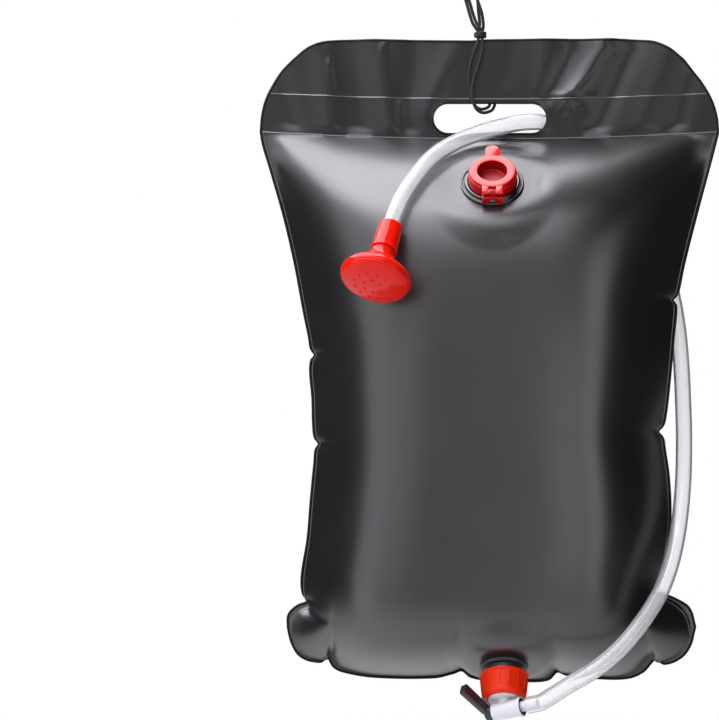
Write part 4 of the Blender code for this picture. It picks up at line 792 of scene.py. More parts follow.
taut_outs, taut_downs, outs, downs = header_and_chamber(NOTCH_CALM, NOTCH_REACH)
swell = bulge(taut_outs, taut_downs, HEADER_ROWS - 1)
weld = BAG_HEIGHT * weld_share(outs / (BAG_WIDTH / 2))
calm = np.clip((weld - downs) / WELD_CALM, 0.0, 1.0)
calm = calm * calm * (3 - 2 * calm)
by_cord = 1.0 - np.exp(-((outs - CORD_SPOT) / CORD_CALM) ** 2)
folded = (ridges(outs, downs, RIDGES) + creases(outs, downs, FOLDS, FOLD_SPREAD)) * calm * by_cord
drawn = creases(outs, downs, PUCKERS, PUCKER_SPREAD) + LEAST_PUCKER
pucker = drawn * (1.0 - np.exp(-swell / drawn / PUCKER_LIMIT))
rim_distance = np.minimum.reduce((
    np.abs(outs - outs[:, :1]), np.abs(outs - outs[:, -1:]),
    np.abs(downs - downs[:1, :]), np.abs(downs - downs[-1:, :]),
))
rim_share = np.clip(1.0 - rim_distance / RIM_WIDTH, 0.0, 1.0)
filler_stand = stand(FILLER_PLACE, FILLER_AXIS)
outlet_stand = stand(OUTLET_PLACE, OUTLET_AXIS)
film = plastic_film()
slot_stand = stand(SLOT_CENTRE, (0.0, -1.0, 0.0))


def cutter(name, outline, half, place):
    """A piece that only cuts another one and is then taken away."""
    return in_scene(name, prism(name, outline, -half, half, place))


slot_cutter = cutter("slot_cutter", stadium(SLOT_LENGTH, SLOT_HEIGHT, SLOT_POINTS), SLOT_CUT, slot_stand)
filler_cutter, outlet_cutter = [
    cutter(name, arc((0.0, 0.0), radius, 0.0, 1.0, HOLE_POINTS)[:-1], FITTING_CUT, place)
    for name, radius, place in (
        ("filler_cutter", FILLER_HOLE, filler_stand), ("outlet_cutter", OUTLET_HOLE, outlet_stand),
    )
]


def sheet_points(side):
    """Every grid point of one sheet in the world, its inner face."""
    out = BAG_GAP / 2 + swell - pucker
    points = np.stack((outs, side * out - folded, -downs), axis=-1) + np.array(BAG_PLACE)
    if side < 0:
        for fitting in ((FILLER_PLACE, FILLER_AXIS, *FILLER_SEAT), (OUTLET_PLACE, OUTLET_AXIS, *OUTLET_SEAT)):
            points = np.where((swell > 0)[..., None], seated(points, *fitting), points)
        points[..., 1] = np.where(swell > 0, np.minimum(points[..., 1], -BAG_GAP / 2), points[..., 1])
    return points


def bag_sheet(name, side, cutters):
    points = sheet_points(side)
    rows, columns = points.shape[:2]
    index = np.arange(rows * columns).reshape(rows, columns)
    corners = [index[:-1, :-1], index[:-1, 1:], index[1:, 1:], index[1:, :-1]]
    faces = np.stack(corners if side > 0 else corners[::-1], axis=-1).reshape(-1, 4)
    mesh = bpy.data.meshes.new(name)
    mesh.from_pydata(points.reshape(-1, 3).tolist(), [], faces.tolist())
    rim = mesh.attributes.new("rim", "FLOAT", "POINT")
    rim.data.foreach_set("value", rim_share.reshape(-1).astype(np.float32))
    tight = mesh.attributes.new("tight", "FLOAT", "POINT")
    tight_share = np.clip((downs - weld) / SLACK_WIDTH, 0.0, 1.0)
    tight.data.foreach_set("value", tight_share.reshape(-1).astype(np.float32))
    made = object_from(name, mesh, film, smooth=0.0)
    shell = made.modifiers.new("thickness", "SOLIDIFY")
    shell.thickness = BAG_SHEET
    shell.offset = 1.0
    for other in cutters:
        hole = made.modifiers.new(other.name, "BOOLEAN")
        hole.operation = "DIFFERENCE"
        hole.solver = "EXACT"
        hole.object = other
    settled(made)
    made.data.shade_smooth()
    made.data.set_sharp_from_angle(angle=FILM_TURN)
    return made


front = bag_sheet("front_sheet", -1, (slot_cutter, filler_cutter, outlet_cutter))
back = bag_sheet("back_sheet", 1, (slot_cutter,))
for used in (slot_cutter, filler_cutter, outlet_cutter):
    bpy.data.objects.remove(used, do_unlink=True)
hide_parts("front_panel")
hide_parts("back_panel")


# Welded seams
# Heat and pressure leave a narrow raised bead where the two sheets are joined: round the whole edge, twice
# across the header and round the handle slot. Each is a thin line of melted film, dead black at the edge and
# the slot. Across the sheets the lines are painted pale grey, as a painted highlight where they catch the
# light.

BEAD_RADIUS = 0.0013
LINE_RADIUS = 0.00075
SLOT_BEAD_RADIUS = 0.0011
SLOT_BEAD_OUT = 0.001
UPPER_WELD = (0.083, 0.0925)
# Pale grey of the lines across the sheets: a painted highlight on black film.
WELD_HIGHLIGHT_GREY = (0.050, 0.050, 0.055)
BEAD_BLACK = (0.004, 0.004, 0.004)


def node_tree_with(name, inputs):
    """A Geometry Nodes tree with a geometry going in and out and named inputs for its sizes."""
    tree = bpy.data.node_groups.new(name, "GeometryNodeTree")
    tree.interface.new_socket("Geometry", in_out="INPUT", socket_type="NodeSocketGeometry")
    identifiers = {}
    for label, kind, value in inputs:
        socket = tree.interface.new_socket(label, in_out="INPUT", socket_type=kind)
        if value is not None:
            socket.default_value = value
        identifiers[label] = socket.identifier
    tree.interface.new_socket("Geometry", in_out="OUTPUT", socket_type="NodeSocketGeometry")
    return tree, node(tree, "NodeGroupInput").outputs, identifiers


def grown(name, base, tree, identifiers, values, material):
    """Runs a tree on a base mesh and keeps the plain mesh that it gives as one piece."""
    holder = in_scene(name, base)
    grow = holder.modifiers.new("grow", "NODES")
    grow.node_group = tree
    for label, value in values.items():
        grow[identifiers[label]] = value
    settled(holder)
    mesh = holder.data
    bpy.data.objects.remove(holder, do_unlink=True)
    return object_from(name, mesh, material)


def painted(tree, geometry, material):
    """Ends a tree: makes its copies real, gives them their material and sends them out."""
    real = node(tree, "GeometryNodeRealizeInstances", geometry)
    paint = node(tree, "GeometryNodeSetMaterial", Geometry=real.outputs[0], Material=material)
    node(tree, "NodeGroupOutput", paint.outputs[0])


def bead_tree():
    """Lays a round bead along every edge line of a mesh."""
    tree, given, names = node_tree_with("weld_bead", (
        ("Radius", "NodeSocketFloat", BEAD_RADIUS), ("Sides", "NodeSocketInt", 8),
        ("Material", "NodeSocketMaterial", None),
    ))
    line = node(tree, "GeometryNodeMeshToCurve", Mesh=given["Geometry"])
    ring = node(tree, "GeometryNodeCurvePrimitiveCircle", Resolution=given["Sides"], Radius=given["Radius"])
    curve, profile = line.outputs["Curve"], ring.outputs["Curve"]
    skin = node(tree, "GeometryNodeCurveToMesh", Curve=curve, Profile_Curve=profile, Fill_Caps=True)
    painted(tree, skin.outputs["Mesh"], given["Material"])
    return tree, names


def line_mesh(name, lines):
    """Edge lines through lists of points. A line whose flag is set closes on itself."""
    points, edges = [], []
    for line, closed in lines:
        first = len(points)
        points += [tuple(p) for p in line]
        edges += [(first + k, first + k + 1) for k in range(len(line) - 1)]
        if closed:
            edges.append((first + len(line) - 1, first))
    mesh = bpy.data.meshes.new(name)
    mesh.from_pydata(points, edges, [])
    return mesh


# The welds across the sheets get a pale grey finish, as a painted highlight.
weld_highlight_finish = plastic("weld_painted_highlight", WELD_HIGHLIGHT_GREY, roughness=0.22, grain=0.1, coat=0.6)
bead_finish = plastic("melted_edge", BEAD_BLACK, roughness=0.55, grain=0.1, Specular_IOR_Level=0.2)
beads, bead_names = bead_tree()
front_points, back_points = sheet_points(-1), sheet_points(1)
middle_points = (front_points + back_points) / 2
loop = np.concatenate((
    middle_points[0], middle_points[1:, -1], middle_points[-1, -2::-1], middle_points[-2:0:-1, 0],
))
edge_bead = grown(
    "edge_bead", line_mesh("edge_bead", [(loop, True)]), beads, bead_names,
    {"Radius": BEAD_RADIUS, "Sides": 10, "Material": bead_finish}, bead_finish,
)


def sheet_at(points, target):
    """The line that a sheet's grid makes at a given distance down each column."""
    line = []
    for column in range(points.shape[1]):
        want = target[column]
        line.append([np.interp(want, downs[:, column], points[:, column, k]) for k in range(3)])
    return np.array(line)


lines, rims = [], []
for side, points in ((-1, front_points), (1, back_points)):
    lift = np.array((0.0, side * BAG_SHEET, 0.0))
    edge, middle = UPPER_WELD
    mid_out = outs[HEADER_ROWS // 2] / (BAG_WIDTH / 2)
    upper = BAG_HEIGHT * (middle + (edge - middle) * np.minimum(np.abs(mid_out), 1.0) ** 2)
    lines.append((sheet_at(points, upper)[1:-1] + lift, False))
    lines.append((points[HEADER_ROWS - 1][1:-1] + lift, False))
    low = points[HEADER_ROWS:]
    lines.append((np.concatenate((low[:-2, 2], low[-3, 3:-3], low[-3::-1, -3])) + lift, False))
    rim = stadium(SLOT_LENGTH + 2 * SLOT_BEAD_OUT, SLOT_HEIGHT + 2 * SLOT_BEAD_OUT, SLOT_POINTS)
    rims.append(([slot_stand @ Vector((x, y, -side * (BAG_SHEET + BAG_GAP / 2))) for x, y in rim], True))
weld_lines = grown(
    "weld_lines", line_mesh("weld_lines", lines), beads, bead_names,
    {"Radius": LINE_RADIUS, "Sides": 8, "Material": weld_highlight_finish}, weld_highlight_finish,
)
slot_beads = grown(
    "slot_beads", line_mesh("slot_beads", rims), beads, bead_names,
    {"Radius": SLOT_BEAD_RADIUS, "Sides": 10, "Material": bead_finish}, bead_finish,
)
for piece in (front, back, edge_bead, weld_lines, slot_beads):
    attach(piece, "bag")


# Filler
# A glossy soft PVC collar is welded over the hole. A red neck with a hinge block is pressed into it, and a
# red cap hangs on a steel pin: a ring round a cup that plugs the mouth, with a pull tab.

RED = (0.640, 0.008, 0.003)
NECK_RED = (0.380, 0.002, 0.003)
# The deep red of the cup's inside is painted shade: the hollow under the cap's ring is drawn darker than the
# red plastic.
CUP_SHADE_RED = (0.240, 0.001, 0.002)
CUP_RADIUS = 0.0127
CUP_DEPTH = 0.0052
COLLAR_BLACK = (0.006, 0.004, 0.005)
STEEL_GREY = (0.55, 0.55, 0.56)
RUBBER_GREY = (0.014, 0.014, 0.014)
LATHE_STEPS = 96
SOFT_EDGE = 0.0004
BLOCK_EDGE = 0.0003
# Turns, in radians, from which a section's corner and a block's edge are rounded, and how far at most a
# corner's curve reaches along its shorter side
CORNER_TURN = 0.35
EDGE_TURN = 0.6
CORNER_SHARE = 0.42
CORNER_STEPS = (0.0, 0.33, 0.67, 1.0)
POLE_RADIUS = 1e-7
# The points of a rubber ring's section, and the share of a turn from the first one to the last
RING_POINTS = 19
RING_SHARE = 0.95
COLLAR_SECTION = (
    (0.0211, 0.0047), (0.0228, 0.0047), (0.0236, 0.0041), (0.0239, 0.0026), (0.0243, 0.0018),
    (0.0249, 0.0017), (0.0254, 0.0023), (0.0262, 0.0024), (0.0268, 0.0018), (0.027, 0.001), (0.027, 0.0003),
    (0.0175, 0.0003), (0.0175, 0.0017), (0.0211, 0.0017),
)
NECK_SECTION = (
    (0.02, 0.0132), (0.0208, 0.0124), (0.0208, 0.002), (0.0192, 0.002), (0.0192, 0.0116), (0.0162, 0.0116),
    (0.0162, 0.002), (0.0146, 0.002), (0.0146, 0.0132),
)
CAP_SECTION = (
    (0.0, 0.0064), (0.01145, 0.0064), (0.01265, 0.0155), (0.01315, 0.016), (0.01905, 0.016),
    (0.01955, 0.0155), (0.01955, 0.0135), (0.01415, 0.0135), (0.01295, 0.005), (0.0, 0.005),
)
BLOCK_FACE = (
    (-0.0087, 0.002), (-0.0026, 0.002), (-0.0026, 0.0078), (0.0026, 0.0078), (0.0026, 0.002), (0.0087, 0.002),
    (0.0087, 0.0099), (-0.0087, 0.0099),
)
BLOCK_BRIDGE = ((-0.0087, 0.0051), (0.0087, 0.0051), (0.0087, 0.0099), (-0.0087, 0.0099))
HINGE_SPOT = (-0.0235, 0.0133)
KNUCKLE = 0.0022
PIN_REACH = 0.0087
PIN_RADIUS = 0.0011
# Both ends of the outlines that go on round the hinge, and the rib in the cup
TONGUE_ENDS = ((-0.0213, 0.0095), (-0.0257, 0.0095))
LUG_ENDS = ((-0.01755, 0.0156), (-0.01755, 0.0137))
CUP_RIB = ((-0.0063, -0.0099), (0.0063, -0.0099), (0.0063, -0.0083), (-0.0063, -0.0083))
# Where the blocks of the hinge and the cap start and end, across or along the filler's axis
FACE_SPAN = (-0.0270, -0.0243)
BRIDGE_SPAN = (-0.0245, -0.0196)
TONGUE_SPAN = (-0.0028, 0.0028)
LUG_SPANS = {"left_lug": (-0.0087, -0.0031), "right_lug": (0.0031, 0.0087)}
TAB_SPAN = (0.0137, 0.0157)
TAB_RADIUS = 0.00625
TAB_REACH = 0.026
TAB_FOOT = 0.0155
RIB_SPAN = (0.0058, 0.0109)
RIB_TURN = math.radians(33.5)


def softened(section, radius, closed):
    """A section with each sharp corner swapped for a small curve."""
    points = [Vector(p) for p in section]
    found = []
    for i, here in enumerate(points):
        before, after = points[i - 1] - here, points[(i + 1) % len(points)] - here
        if not closed and i in (0, len(points) - 1) or before.angle(-after) < CORNER_TURN:
            found.append(here)
            continue
        cut = min(radius, CORNER_SHARE * before.length, CORNER_SHARE * after.length)
        start, end = here + before.normalized() * cut, here + after.normalized() * cut
        found += [(1 - t) ** 2 * start + 2 * t * (1 - t) * here + t * t * end for t in CORNER_STEPS]
    return found


def lathe(name, section, place, soft=SOFT_EDGE, steps=LATHE_STEPS):
    """A turned piece from a section of (radius, height) points: a closed loop, or from pole to pole."""
    solid = section[0][0] == 0.0
    points = softened(section, soft, not solid)
    work = bmesh.new()
    rings = []
    for radius, height in points:
        if radius < POLE_RADIUS:
            rings.append([work.verts.new((0.0, 0.0, height))] * steps)
            continue
        turns = [TURN * k / steps for k in range(steps)]
        rings.append([work.verts.new((radius * math.cos(a), radius * math.sin(a), height)) for a in turns])
    for i in range(len(rings) - (1 if solid else 0)):
        low, high = rings[i], rings[(i + 1) % len(rings)]
        for k in range(steps):
            n = (k + 1) % steps
            work.faces.new(dict.fromkeys((low[k], low[n], high[n], high[k])))
    bmesh.ops.recalc_face_normals(work, faces=work.faces)
    bmesh.ops.transform(work, matrix=place, verts=work.verts)
    return mesh_of(name, work)


def chamfered(mesh, width, segments=2):
    """The same block with its sharp edges rounded."""
    work = bmesh.new()
    work.from_mesh(mesh)
    sharp = [edge for edge in work.edges if edge.calc_face_angle(0.0) > EDGE_TURN]
    bmesh.ops.bevel(
        work, geom=sharp, offset=width, segments=segments, profile=0.5, affect="EDGES", clamp_overlap=True,
    )
    work.to_mesh(mesh)
    work.free()
    return mesh


def merged(name, meshes, material, body, *nodes, slot):
    """Puts several closed blocks in the scene as one piece that takes the place of its nodes."""
    work = bmesh.new()
    for mesh in meshes:
        work.from_mesh(mesh)
    made = object_from(name, mesh_of(name, work), material)
    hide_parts(*nodes)
    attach(made, body)
    return made


def turned(name, section, place, finish, body, stands_for, slot, soft=SOFT_EDGE, steps=LATHE_STEPS):
    """One turned piece that takes the place of one node."""
    return merged(name, [lathe(name, section, place, soft, steps)], finish, body, stands_for, slot=slot)


def rubber_ring(name, spot, wire_radius, place, body, stands_for, steps):
    """A round rubber ring, whose section is a circle of short straight sides."""
    section = arc(spot, wire_radius, 0.0, RING_SHARE, RING_POINTS)
    return turned(name, section, place, rubber_finish, body, stands_for, "rubber", soft=0.0, steps=steps)


def side_block(name, outline, low, high, place, width=BLOCK_EDGE):
    """A block whose outline lies in its place's YZ plane, between two places along X."""
    facing = place @ Matrix(((0, 0, 1, 0), (1, 0, 0, 0), (0, 1, 0, 0), (0, 0, 0, 1)))
    return chamfered(prism(name, outline, low, high, facing), width)


def front_block(name, outline, low, high, place, width=BLOCK_EDGE):
    """A block whose outline lies in its place's XZ plane, between two places along Y."""
    facing = place @ Matrix(((1, 0, 0, 0), (0, 0, 1, 0), (0, 1, 0, 0), (0, 0, 0, 1)))
    return chamfered(prism(name, outline, low, high, facing), width)


red_finish = plastic("red_moulding", RED, roughness=0.08, grain=0.06, spread=0.04, Specular_IOR_Level=0.22)
cap_finish = plastic("cap_moulding", RED, roughness=0.24, grain=0.12, spread=0.08, coat=0.2)
# The cup's inside gets a darker, duller red, as painted shade in the hollow.
cup_shade_look = {"roughness": 0.30, "grain": 0.12, "spread": 0.08, "Specular_IOR_Level": 0.25}
cup_shade_finish = plastic("cup_painted_shade", CUP_SHADE_RED, **cup_shade_look)
neck_look = {"roughness": 0.20, "grain": 0.12, "spread": 0.08, "Specular_IOR_Level": 0.3}
neck_finish = plastic("neck_moulding", NECK_RED, **neck_look)
collar_finish = plastic("soft_collar", COLLAR_BLACK, roughness=0.07, grain=0.03, spread=0.04, coat=0.8)
rubber_finish = plastic("rubber", RUBBER_GREY, roughness=0.62, grain=0.5)
steel_finish = plastic("steel_pin", STEEL_GREY, roughness=0.26, grain=0.1, Metallic=1.0)

turned("collar", COLLAR_SECTION, filler_stand, collar_finish, "bag", "filler_collar", "collar", soft=0.0005)
tongue = [TONGUE_ENDS[0], *arc(HINGE_SPOT, KNUCKLE, 0.0, 0.5, count=16), TONGUE_ENDS[1]]
merged("neck", [
    lathe("neck", NECK_SECTION, filler_stand),
    front_block("hinge_face", BLOCK_FACE, *FACE_SPAN, filler_stand),
    front_block("hinge_bridge", BLOCK_BRIDGE, *BRIDGE_SPAN, filler_stand),
    side_block("hinge_tongue", tongue, *TONGUE_SPAN, filler_stand),
], neck_finish, "bag", "filler_neck", slot="red")
lug = [LUG_ENDS[0], *arc(HINGE_SPOT, KNUCKLE, 0.25, 1.0, count=20), LUG_ENDS[1]]
tab_end = arc((0.0, TAB_REACH), TAB_RADIUS, 0.0, 0.5, count=24)
tab = [(TAB_RADIUS, TAB_FOOT), *tab_end, (-TAB_RADIUS, TAB_FOOT)]
rib_turn = filler_stand @ Matrix.Rotation(RIB_TURN, 4, "Z")
cap = merged("cap", [
    lathe("cap", CAP_SECTION, filler_stand, soft=0.0007),
    chamfered(prism("tab", tab, *TAB_SPAN, filler_stand), width=0.0005),
    *(side_block(name, lug, *span, filler_stand, width=0.0004) for name, span in LUG_SPANS.items()),
    chamfered(prism("cup_rib", CUP_RIB, *RIB_SPAN, rib_turn), width=0.0003),
], cap_finish, "cap", "filler_cap", slot="red")
# Faces inside the cup take the deep red, as painted shade.
cap.data.materials.append(cup_shade_finish)
for face in cap.data.polygons:
    spot = filler_stand.inverted() @ face.center
    if math.hypot(spot.x, spot.y) < CUP_RADIUS and spot.z > CUP_DEPTH:
        face.material_index = 1
pin_stand = filler_stand @ Matrix.Translation((0.0, *HINGE_SPOT)) @ Matrix.Rotation(TURN / 4, 4, "Y")
pin = ((0.0, PIN_REACH), (PIN_RADIUS, PIN_REACH), (PIN_RADIUS, -PIN_REACH), (0.0, -PIN_REACH))
turned(
    "hinge_pin", pin, pin_stand, steel_finish, "bag", "filler_hinge_pin", "steel", soft=0.0003, steps=32,
)


# Outlet and tap
# A black flanged spout is welded in the sheet. A red ribbed union nut pulls the milky tap body on it over a
# rubber gasket. A black plug with two rubber rings turns in the tap's barrel by the lever on its stem.

BLACK_PLASTIC = (0.012, 0.012, 0.013)
MILKY = (0.640, 0.650, 0.690)
NUT_RED = (0.620, 0.022, 0.002)
SPOUT_SECTION = (
    (0.0166, 0.0221), (0.0166, 0.0038), (0.0176, 0.0032), (0.019, 0.0034), (0.0199, 0.0026), (0.0201, 0.0016),
    (0.0206, 0.0012), (0.0208, 0.0003), (0.013, 0.0003), (0.013, 0.0221),
)
NUT_SECTION = (
    (0.0139, 0.031), (0.0178, 0.031), (0.0189, 0.03), (0.0192, 0.0262), (0.0188, 0.0252), (0.0202, 0.0112),
    (0.021, 0.0106), (0.0211, 0.0088), (0.0169, 0.0088), (0.0169, 0.028), (0.0139, 0.028),
)
NUT_RIBS = 14
NUT_RIB = ((-0.0008, 0.0108), (0.0006, 0.0108), (-0.0007, 0.0246), (-0.0022, 0.0246))
NUT_RIB_HALF = 0.0009
NUT_RIB_OUT = 0.0202
BODY_SECTION = (
    (0.0, 0.0407), (0.0065, 0.0407), (0.0065, 0.0313), (0.0136, 0.0313), (0.0136, 0.0277), (0.0166, 0.0277),
    (0.0166, 0.0247), (0.004, 0.0247), (0.004, 0.03), (0.0, 0.03),
)
BARREL_SECTION = (
    (0.0, 0.0072), (0.0056, 0.0072), (0.0056, 0.0151), (0.0074, 0.0151), (0.0074, 0.0173), (0.0084, 0.0173),
    (0.0084, 0.0149), (0.0077, 0.0143), (0.0077, -0.0092), (0.0071, -0.0098), (0.0, -0.0098),
)
ROTOR_SECTION = (
    (0.0, -0.0045), (0.0034, -0.0045), (0.0034, 0.006), (0.0052, 0.006), (0.0053, 0.0052), (0.0045, 0.0052),
    (0.0045, 0.0038), (0.0053, 0.0038), (0.0053, -0.005), (0.0045, -0.005), (0.0045, -0.0064),
    (0.0053, -0.0064), (0.0053, -0.0075), (0.003, -0.0075), (0.003, -0.0147), (0.0, -0.0147),
)
HUB_SECTION = (
    (0.0, -0.015), (0.0033, -0.015), (0.0033, -0.0101), (0.0058, -0.0101), (0.0066, -0.0109),
    (0.0066, -0.0157), (0.0058, -0.0165), (0.0, -0.0165),
)
SPIGOT_SECTION = (
    (0.0041, 0.032), (0.0049, 0.028), (0.0045, 0.028), (0.0045, 0.0151), (0.0053, 0.0151), (0.0053, 0.0074),
    (0.003, 0.0074), (0.003, 0.032),
)
SEAL_SECTION = ((0.0073, 0.0171), (0.0073, 0.0154), (0.0048, 0.0154), (0.0048, 0.0168))
GASKET_SECTION = ((0.0166, 0.0244), (0.0166, 0.0224), (0.01, 0.0224), (0.01, 0.0244))
LEVER_TURN = math.radians(70)
LEVER_LEAN = math.radians(15)
LEVER_LENGTH = 0.0355
LEVER_HALF = 0.00275
LEVER_WIDTHS = (0.0041, 0.0048)
LEVER_START = 0.0048
LEVER_CORNER = 0.0012
LEVER_BACK = 0.01375
LEVER_PANEL = 0.0012
LEVER_SUNK = 0.0007
LEVER_SOFT = 0.00028
# A face counts as the blade's flat side when its normal is this near to the blade's axis
LEVER_FLAT = 0.9
# The plug's rubber rings: how high each lies, how far out, and the radius of the ring's own section
PLUG_RINGS = (("valve_front_ring", 0.0045), ("valve_back_ring", -0.0057))
PLUG_RING_OUT = 0.0049
PLUG_RING_WIRE = 0.0005


def ring_tree(material):
    """Copies a piece round a circle, each copy turned with it."""
    tree, given, names = node_tree_with("ring_of_pieces", (
        ("Count", "NodeSocketInt", 12), ("Radius", "NodeSocketFloat", 0.02), ("Turn", "NodeSocketFloat", 0.0),
    ))
    circle = node(tree, "GeometryNodeMeshCircle", Vertices=given["Count"], Radius=given["Radius"])
    face = node(tree, "FunctionNodeAlignRotationToVector")
    face.axis, face.pivot_axis = "X", "Z"
    wire(tree, face, Vector=node(tree, "GeometryNodeInputPosition").outputs[0])
    copies = node(
        tree, "GeometryNodeInstanceOnPoints", Points=circle.outputs["Mesh"], Instance=given["Geometry"],
        Rotation=face.outputs["Rotation"],
    )
    around = node(tree, "ShaderNodeCombineXYZ", Z=given["Turn"]).outputs[0]
    spin = node(tree, "GeometryNodeTransform", Geometry=copies.outputs["Instances"], Rotation=around)
    painted(tree, spin.outputs["Geometry"], material)
    return tree, names


def ring_of(name, piece, count, radius, place, material, turn=0.0):
    """The mesh of one piece copied round a circle, in its place."""
    tree, names = ring_tree(material)
    made = grown(name, piece, tree, names, {"Count": count, "Radius": radius, "Turn": turn}, material)
    mesh = made.data
    bpy.data.objects.remove(made, do_unlink=True)
    mesh.transform(place)
    return mesh


black_finish = plastic("black_moulding", BLACK_PLASTIC, roughness=0.34, grain=0.4)
milky_finish = plastic(
    "milky_moulding", MILKY, roughness=0.30, grain=0.15, coat=0.15, Subsurface_Weight=0.35,
    Subsurface_Scale=0.003,
)
nut_finish = plastic("nut_moulding", NUT_RED, roughness=0.24, grain=0.15, spread=0.1, Specular_IOR_Level=0.15)
barrel_axes = Matrix((-OUTLET_AXIS, BARREL_AXIS.cross(-OUTLET_AXIS), BARREL_AXIS)).transposed()
barrel_stand = Matrix.Translation(BARREL_PLACE) @ barrel_axes.to_4x4()
lever_stand = barrel_stand @ Matrix.Rotation(LEVER_TURN, 4, "Z")

turned("spout", SPOUT_SECTION, outlet_stand, black_finish, "bag", "outlet_spout", "black")
turned("gasket", GASKET_SECTION, outlet_stand, rubber_finish, "bag", "outlet_gasket", "rubber")
no_turn = Matrix.Identity(4)
rib_block = front_block("nut_rib", NUT_RIB, -NUT_RIB_HALF, NUT_RIB_HALF, no_turn, width=0.0005)
merged("nut", [
    lathe("nut", NUT_SECTION, outlet_stand, soft=0.0006),
    ring_of("nut_ribs", rib_block, NUT_RIBS, NUT_RIB_OUT, outlet_stand, nut_finish),
], nut_finish, "nut", "outlet_nut", slot="red")
merged("tap_body", [
    lathe("tap_boss", BODY_SECTION, outlet_stand, soft=0.0005),
    lathe("tap_barrel", BARREL_SECTION, barrel_stand, soft=0.0005),
], milky_finish, "bag", "valve_body", slot="milky")
turned(
    "plug", ROTOR_SECTION, lever_stand, black_finish, "lever", "valve_rotor", "black", soft=0.0002, steps=48,
)
for ring, spot in PLUG_RINGS:
    rubber_ring(ring + "_rubber", (PLUG_RING_OUT, spot), PLUG_RING_WIRE, lever_stand, "lever", ring, steps=48)
blade_turn = Matrix.Rotation(LEVER_LEAN, 4, "Y")
blade_stand = lever_stand @ Matrix.Translation((0.0, 0.0, -LEVER_BACK)) @ blade_turn
near, far = LEVER_WIDTHS
blade = [(LEVER_START, -near), (LEVER_LENGTH - LEVER_CORNER, -far), (LEVER_LENGTH, -far + LEVER_CORNER)]
blade += [(x, -y) for x, y in reversed(blade)]
blade_mesh = prism("blade", blade, -LEVER_HALF, LEVER_HALF, no_turn)
work = bmesh.new()
work.from_mesh(blade_mesh)
for face in [face for face in work.faces if abs(face.normal.z) > LEVER_FLAT]:
    inward = -face.normal
    bmesh.ops.inset_region(work, faces=[face], thickness=LEVER_PANEL, depth=0.0)
    bmesh.ops.translate(work, vec=inward * LEVER_SUNK, verts=face.verts)
work.to_mesh(blade_mesh)
work.free()
chamfered(blade_mesh, LEVER_SOFT).transform(blade_stand)
lever_meshes = [lathe("lever_hub", HUB_SECTION, lever_stand, soft=0.0005), blade_mesh]
merged("lever", lever_meshes, black_finish, "lever", "valve_lever", slot="black")
turned("end_seal", SEAL_SECTION, barrel_stand, rubber_finish, "bag", "valve_end_seal", "rubber", soft=0.0003)
turned("spigot", SPIGOT_SECTION, barrel_stand, milky_finish, "bag", "valve_spigot", "milky", soft=0.0003)


# Shower head
# Three red mouldings: a sleeve glued on the hose, a mushroom bell whose stem slides in the sleeve against a
# rubber ring, and a domed rose snapped in the bell's rim, with two rings of small raised jets.

SLEEVE_SECTION = (
    (0.0078, 0.0), (0.0087, 0.0), (0.0101, 0.0014), (0.0112, 0.0266), (0.0117, 0.0271), (0.0117, 0.029),
    (0.0083, 0.029), (0.0083, 0.013), (0.0035, 0.013), (0.0035, 0.011), (0.0075, 0.011),
)
BELL_START = 0.0293
BELL_LENGTH = 0.030
BELL_NECK = 0.0102
BELL_RADIUS = 0.0298
BELL_WALL = 0.0022
STEM_RING_SPOT = (0.0074, 0.01605)
STEM_RING_WIRE = 0.0007
BELL_LINE = (
    (0.0, 0.0), (0.015, 0.13), (0.075, 0.28), (0.2, 0.42), (0.42, 0.55), (0.7, 0.665), (0.905, 0.78),
    (1.0, 0.9), (0.99, 0.985), (0.96, 1.0),
)
# The part of the line that the bell's hollow follows
BELL_HOLLOW = slice(3, 7)
BELL_STEM = (
    (0.004, 0.0133), (0.008, 0.0133), (0.008, 0.0151), (0.0064, 0.0151), (0.0064, 0.017), (0.008, 0.017),
    (0.008, BELL_START),
)
ROSE_LOW = 0.0596
ROSE_RADIUS = 0.0292
ROSE_HEIGHT = 0.0072
ROSE_LINE = (
    (1.0, 0.0), (0.985, 0.16), (0.93, 0.37), (0.8, 0.66), (0.58, 0.87), (0.3, 0.97), (0.0, 1.0),
)
ROSE_BACK = (
    (0.0, 0.065), (0.0128, 0.064), (0.0255, 0.0596), (0.0255, 0.0576), (0.0273, 0.0576), (0.0273, 0.0596),
)
# Each ring of jets: how many, how far out, and how high on the rose as a share
JETS = ((6, 0.0080, 0.97), (12, 0.0160, 0.885))
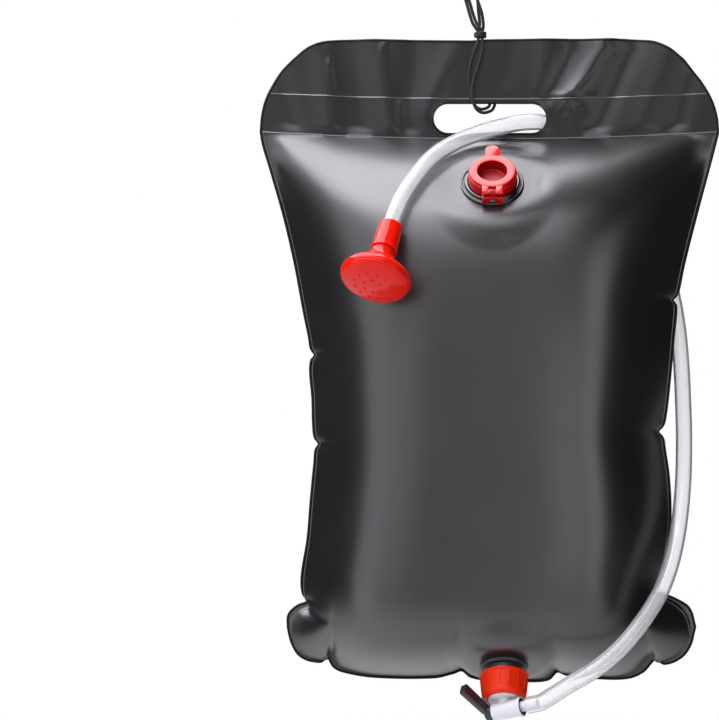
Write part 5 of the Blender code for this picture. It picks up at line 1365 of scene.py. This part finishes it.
# How a jet leans: at this radius the rose falls so much of its height over so much of its radius
LEAN_RADIUS = 0.0130
LEAN_FALL = 0.30
LEAN_RUN = 0.40
JET_SECTION = (
    (0.0, -0.0006), (0.00075, -0.0006), (0.00075, 0.0004), (0.0009, 0.0005), (0.0012, 0.0003),
    (0.0014, -0.0004), (0.0014, -0.001), (0.0, -0.001),
)
PROFILE_STEPS = 6
head_stand = stand(HEAD_PLACE, HEAD_AXIS)


def drawn_line(points, stretch=PROFILE_STEPS):
    """A smooth line through (radius, height) points."""
    return [(max(p.x, 0.0), p.z) for p in smooth_line([(x, 0.0, z) for x, z in points], stretch)]


sleeve = turned("head_sleeve_moulding", SLEEVE_SECTION, head_stand, red_finish, "bag", "head_sleeve", "red")
spread = BELL_RADIUS - BELL_NECK
side = [(BELL_NECK + spread * out, BELL_START + BELL_LENGTH * down) for out, down in BELL_LINE]
hollow = [(radius - BELL_WALL, height + BELL_WALL) for radius, height in side[BELL_HOLLOW]]
rim = BELL_RADIUS - BELL_WALL
bell_section = [
    *BELL_STEM, *drawn_line(side), (rim, BELL_START + BELL_LENGTH), (rim, hollow[-1][1] + BELL_WALL),
    *reversed(hollow), (BELL_STEM[0][0], hollow[0][1] - BELL_WALL),
]
bell = turned("bell", bell_section, head_stand, red_finish, "shower_head", "head_bell", "red")
dome = drawn_line([(ROSE_RADIUS * out, ROSE_LOW + ROSE_HEIGHT * rise) for out, rise in ROSE_LINE])
jet_meshes = []
for count, out, rise in JETS:
    tilt = math.atan2(ROSE_HEIGHT * LEAN_FALL * out / LEAN_RADIUS, ROSE_RADIUS * LEAN_RUN)
    jet_stand = Matrix.Translation((0.0, 0.0, ROSE_LOW + ROSE_HEIGHT * rise)) @ Matrix.Rotation(tilt, 4, "Y")
    jet = lathe("jet", JET_SECTION, jet_stand, soft=0.0001, steps=20)
    jet_meshes.append(ring_of("jets", jet, count, out, head_stand, red_finish, TURN / count / 2))
jet_meshes.insert(0, lathe("rose", [*ROSE_BACK, *dome], head_stand))
rose = merged("rose", jet_meshes, red_finish, "shower_head", "head_rose", slot="red")
seal = rubber_ring(
    "stem_seal", STEM_RING_SPOT, STEM_RING_WIRE, head_stand, "shower_head", "head_seal", steps=64,
)
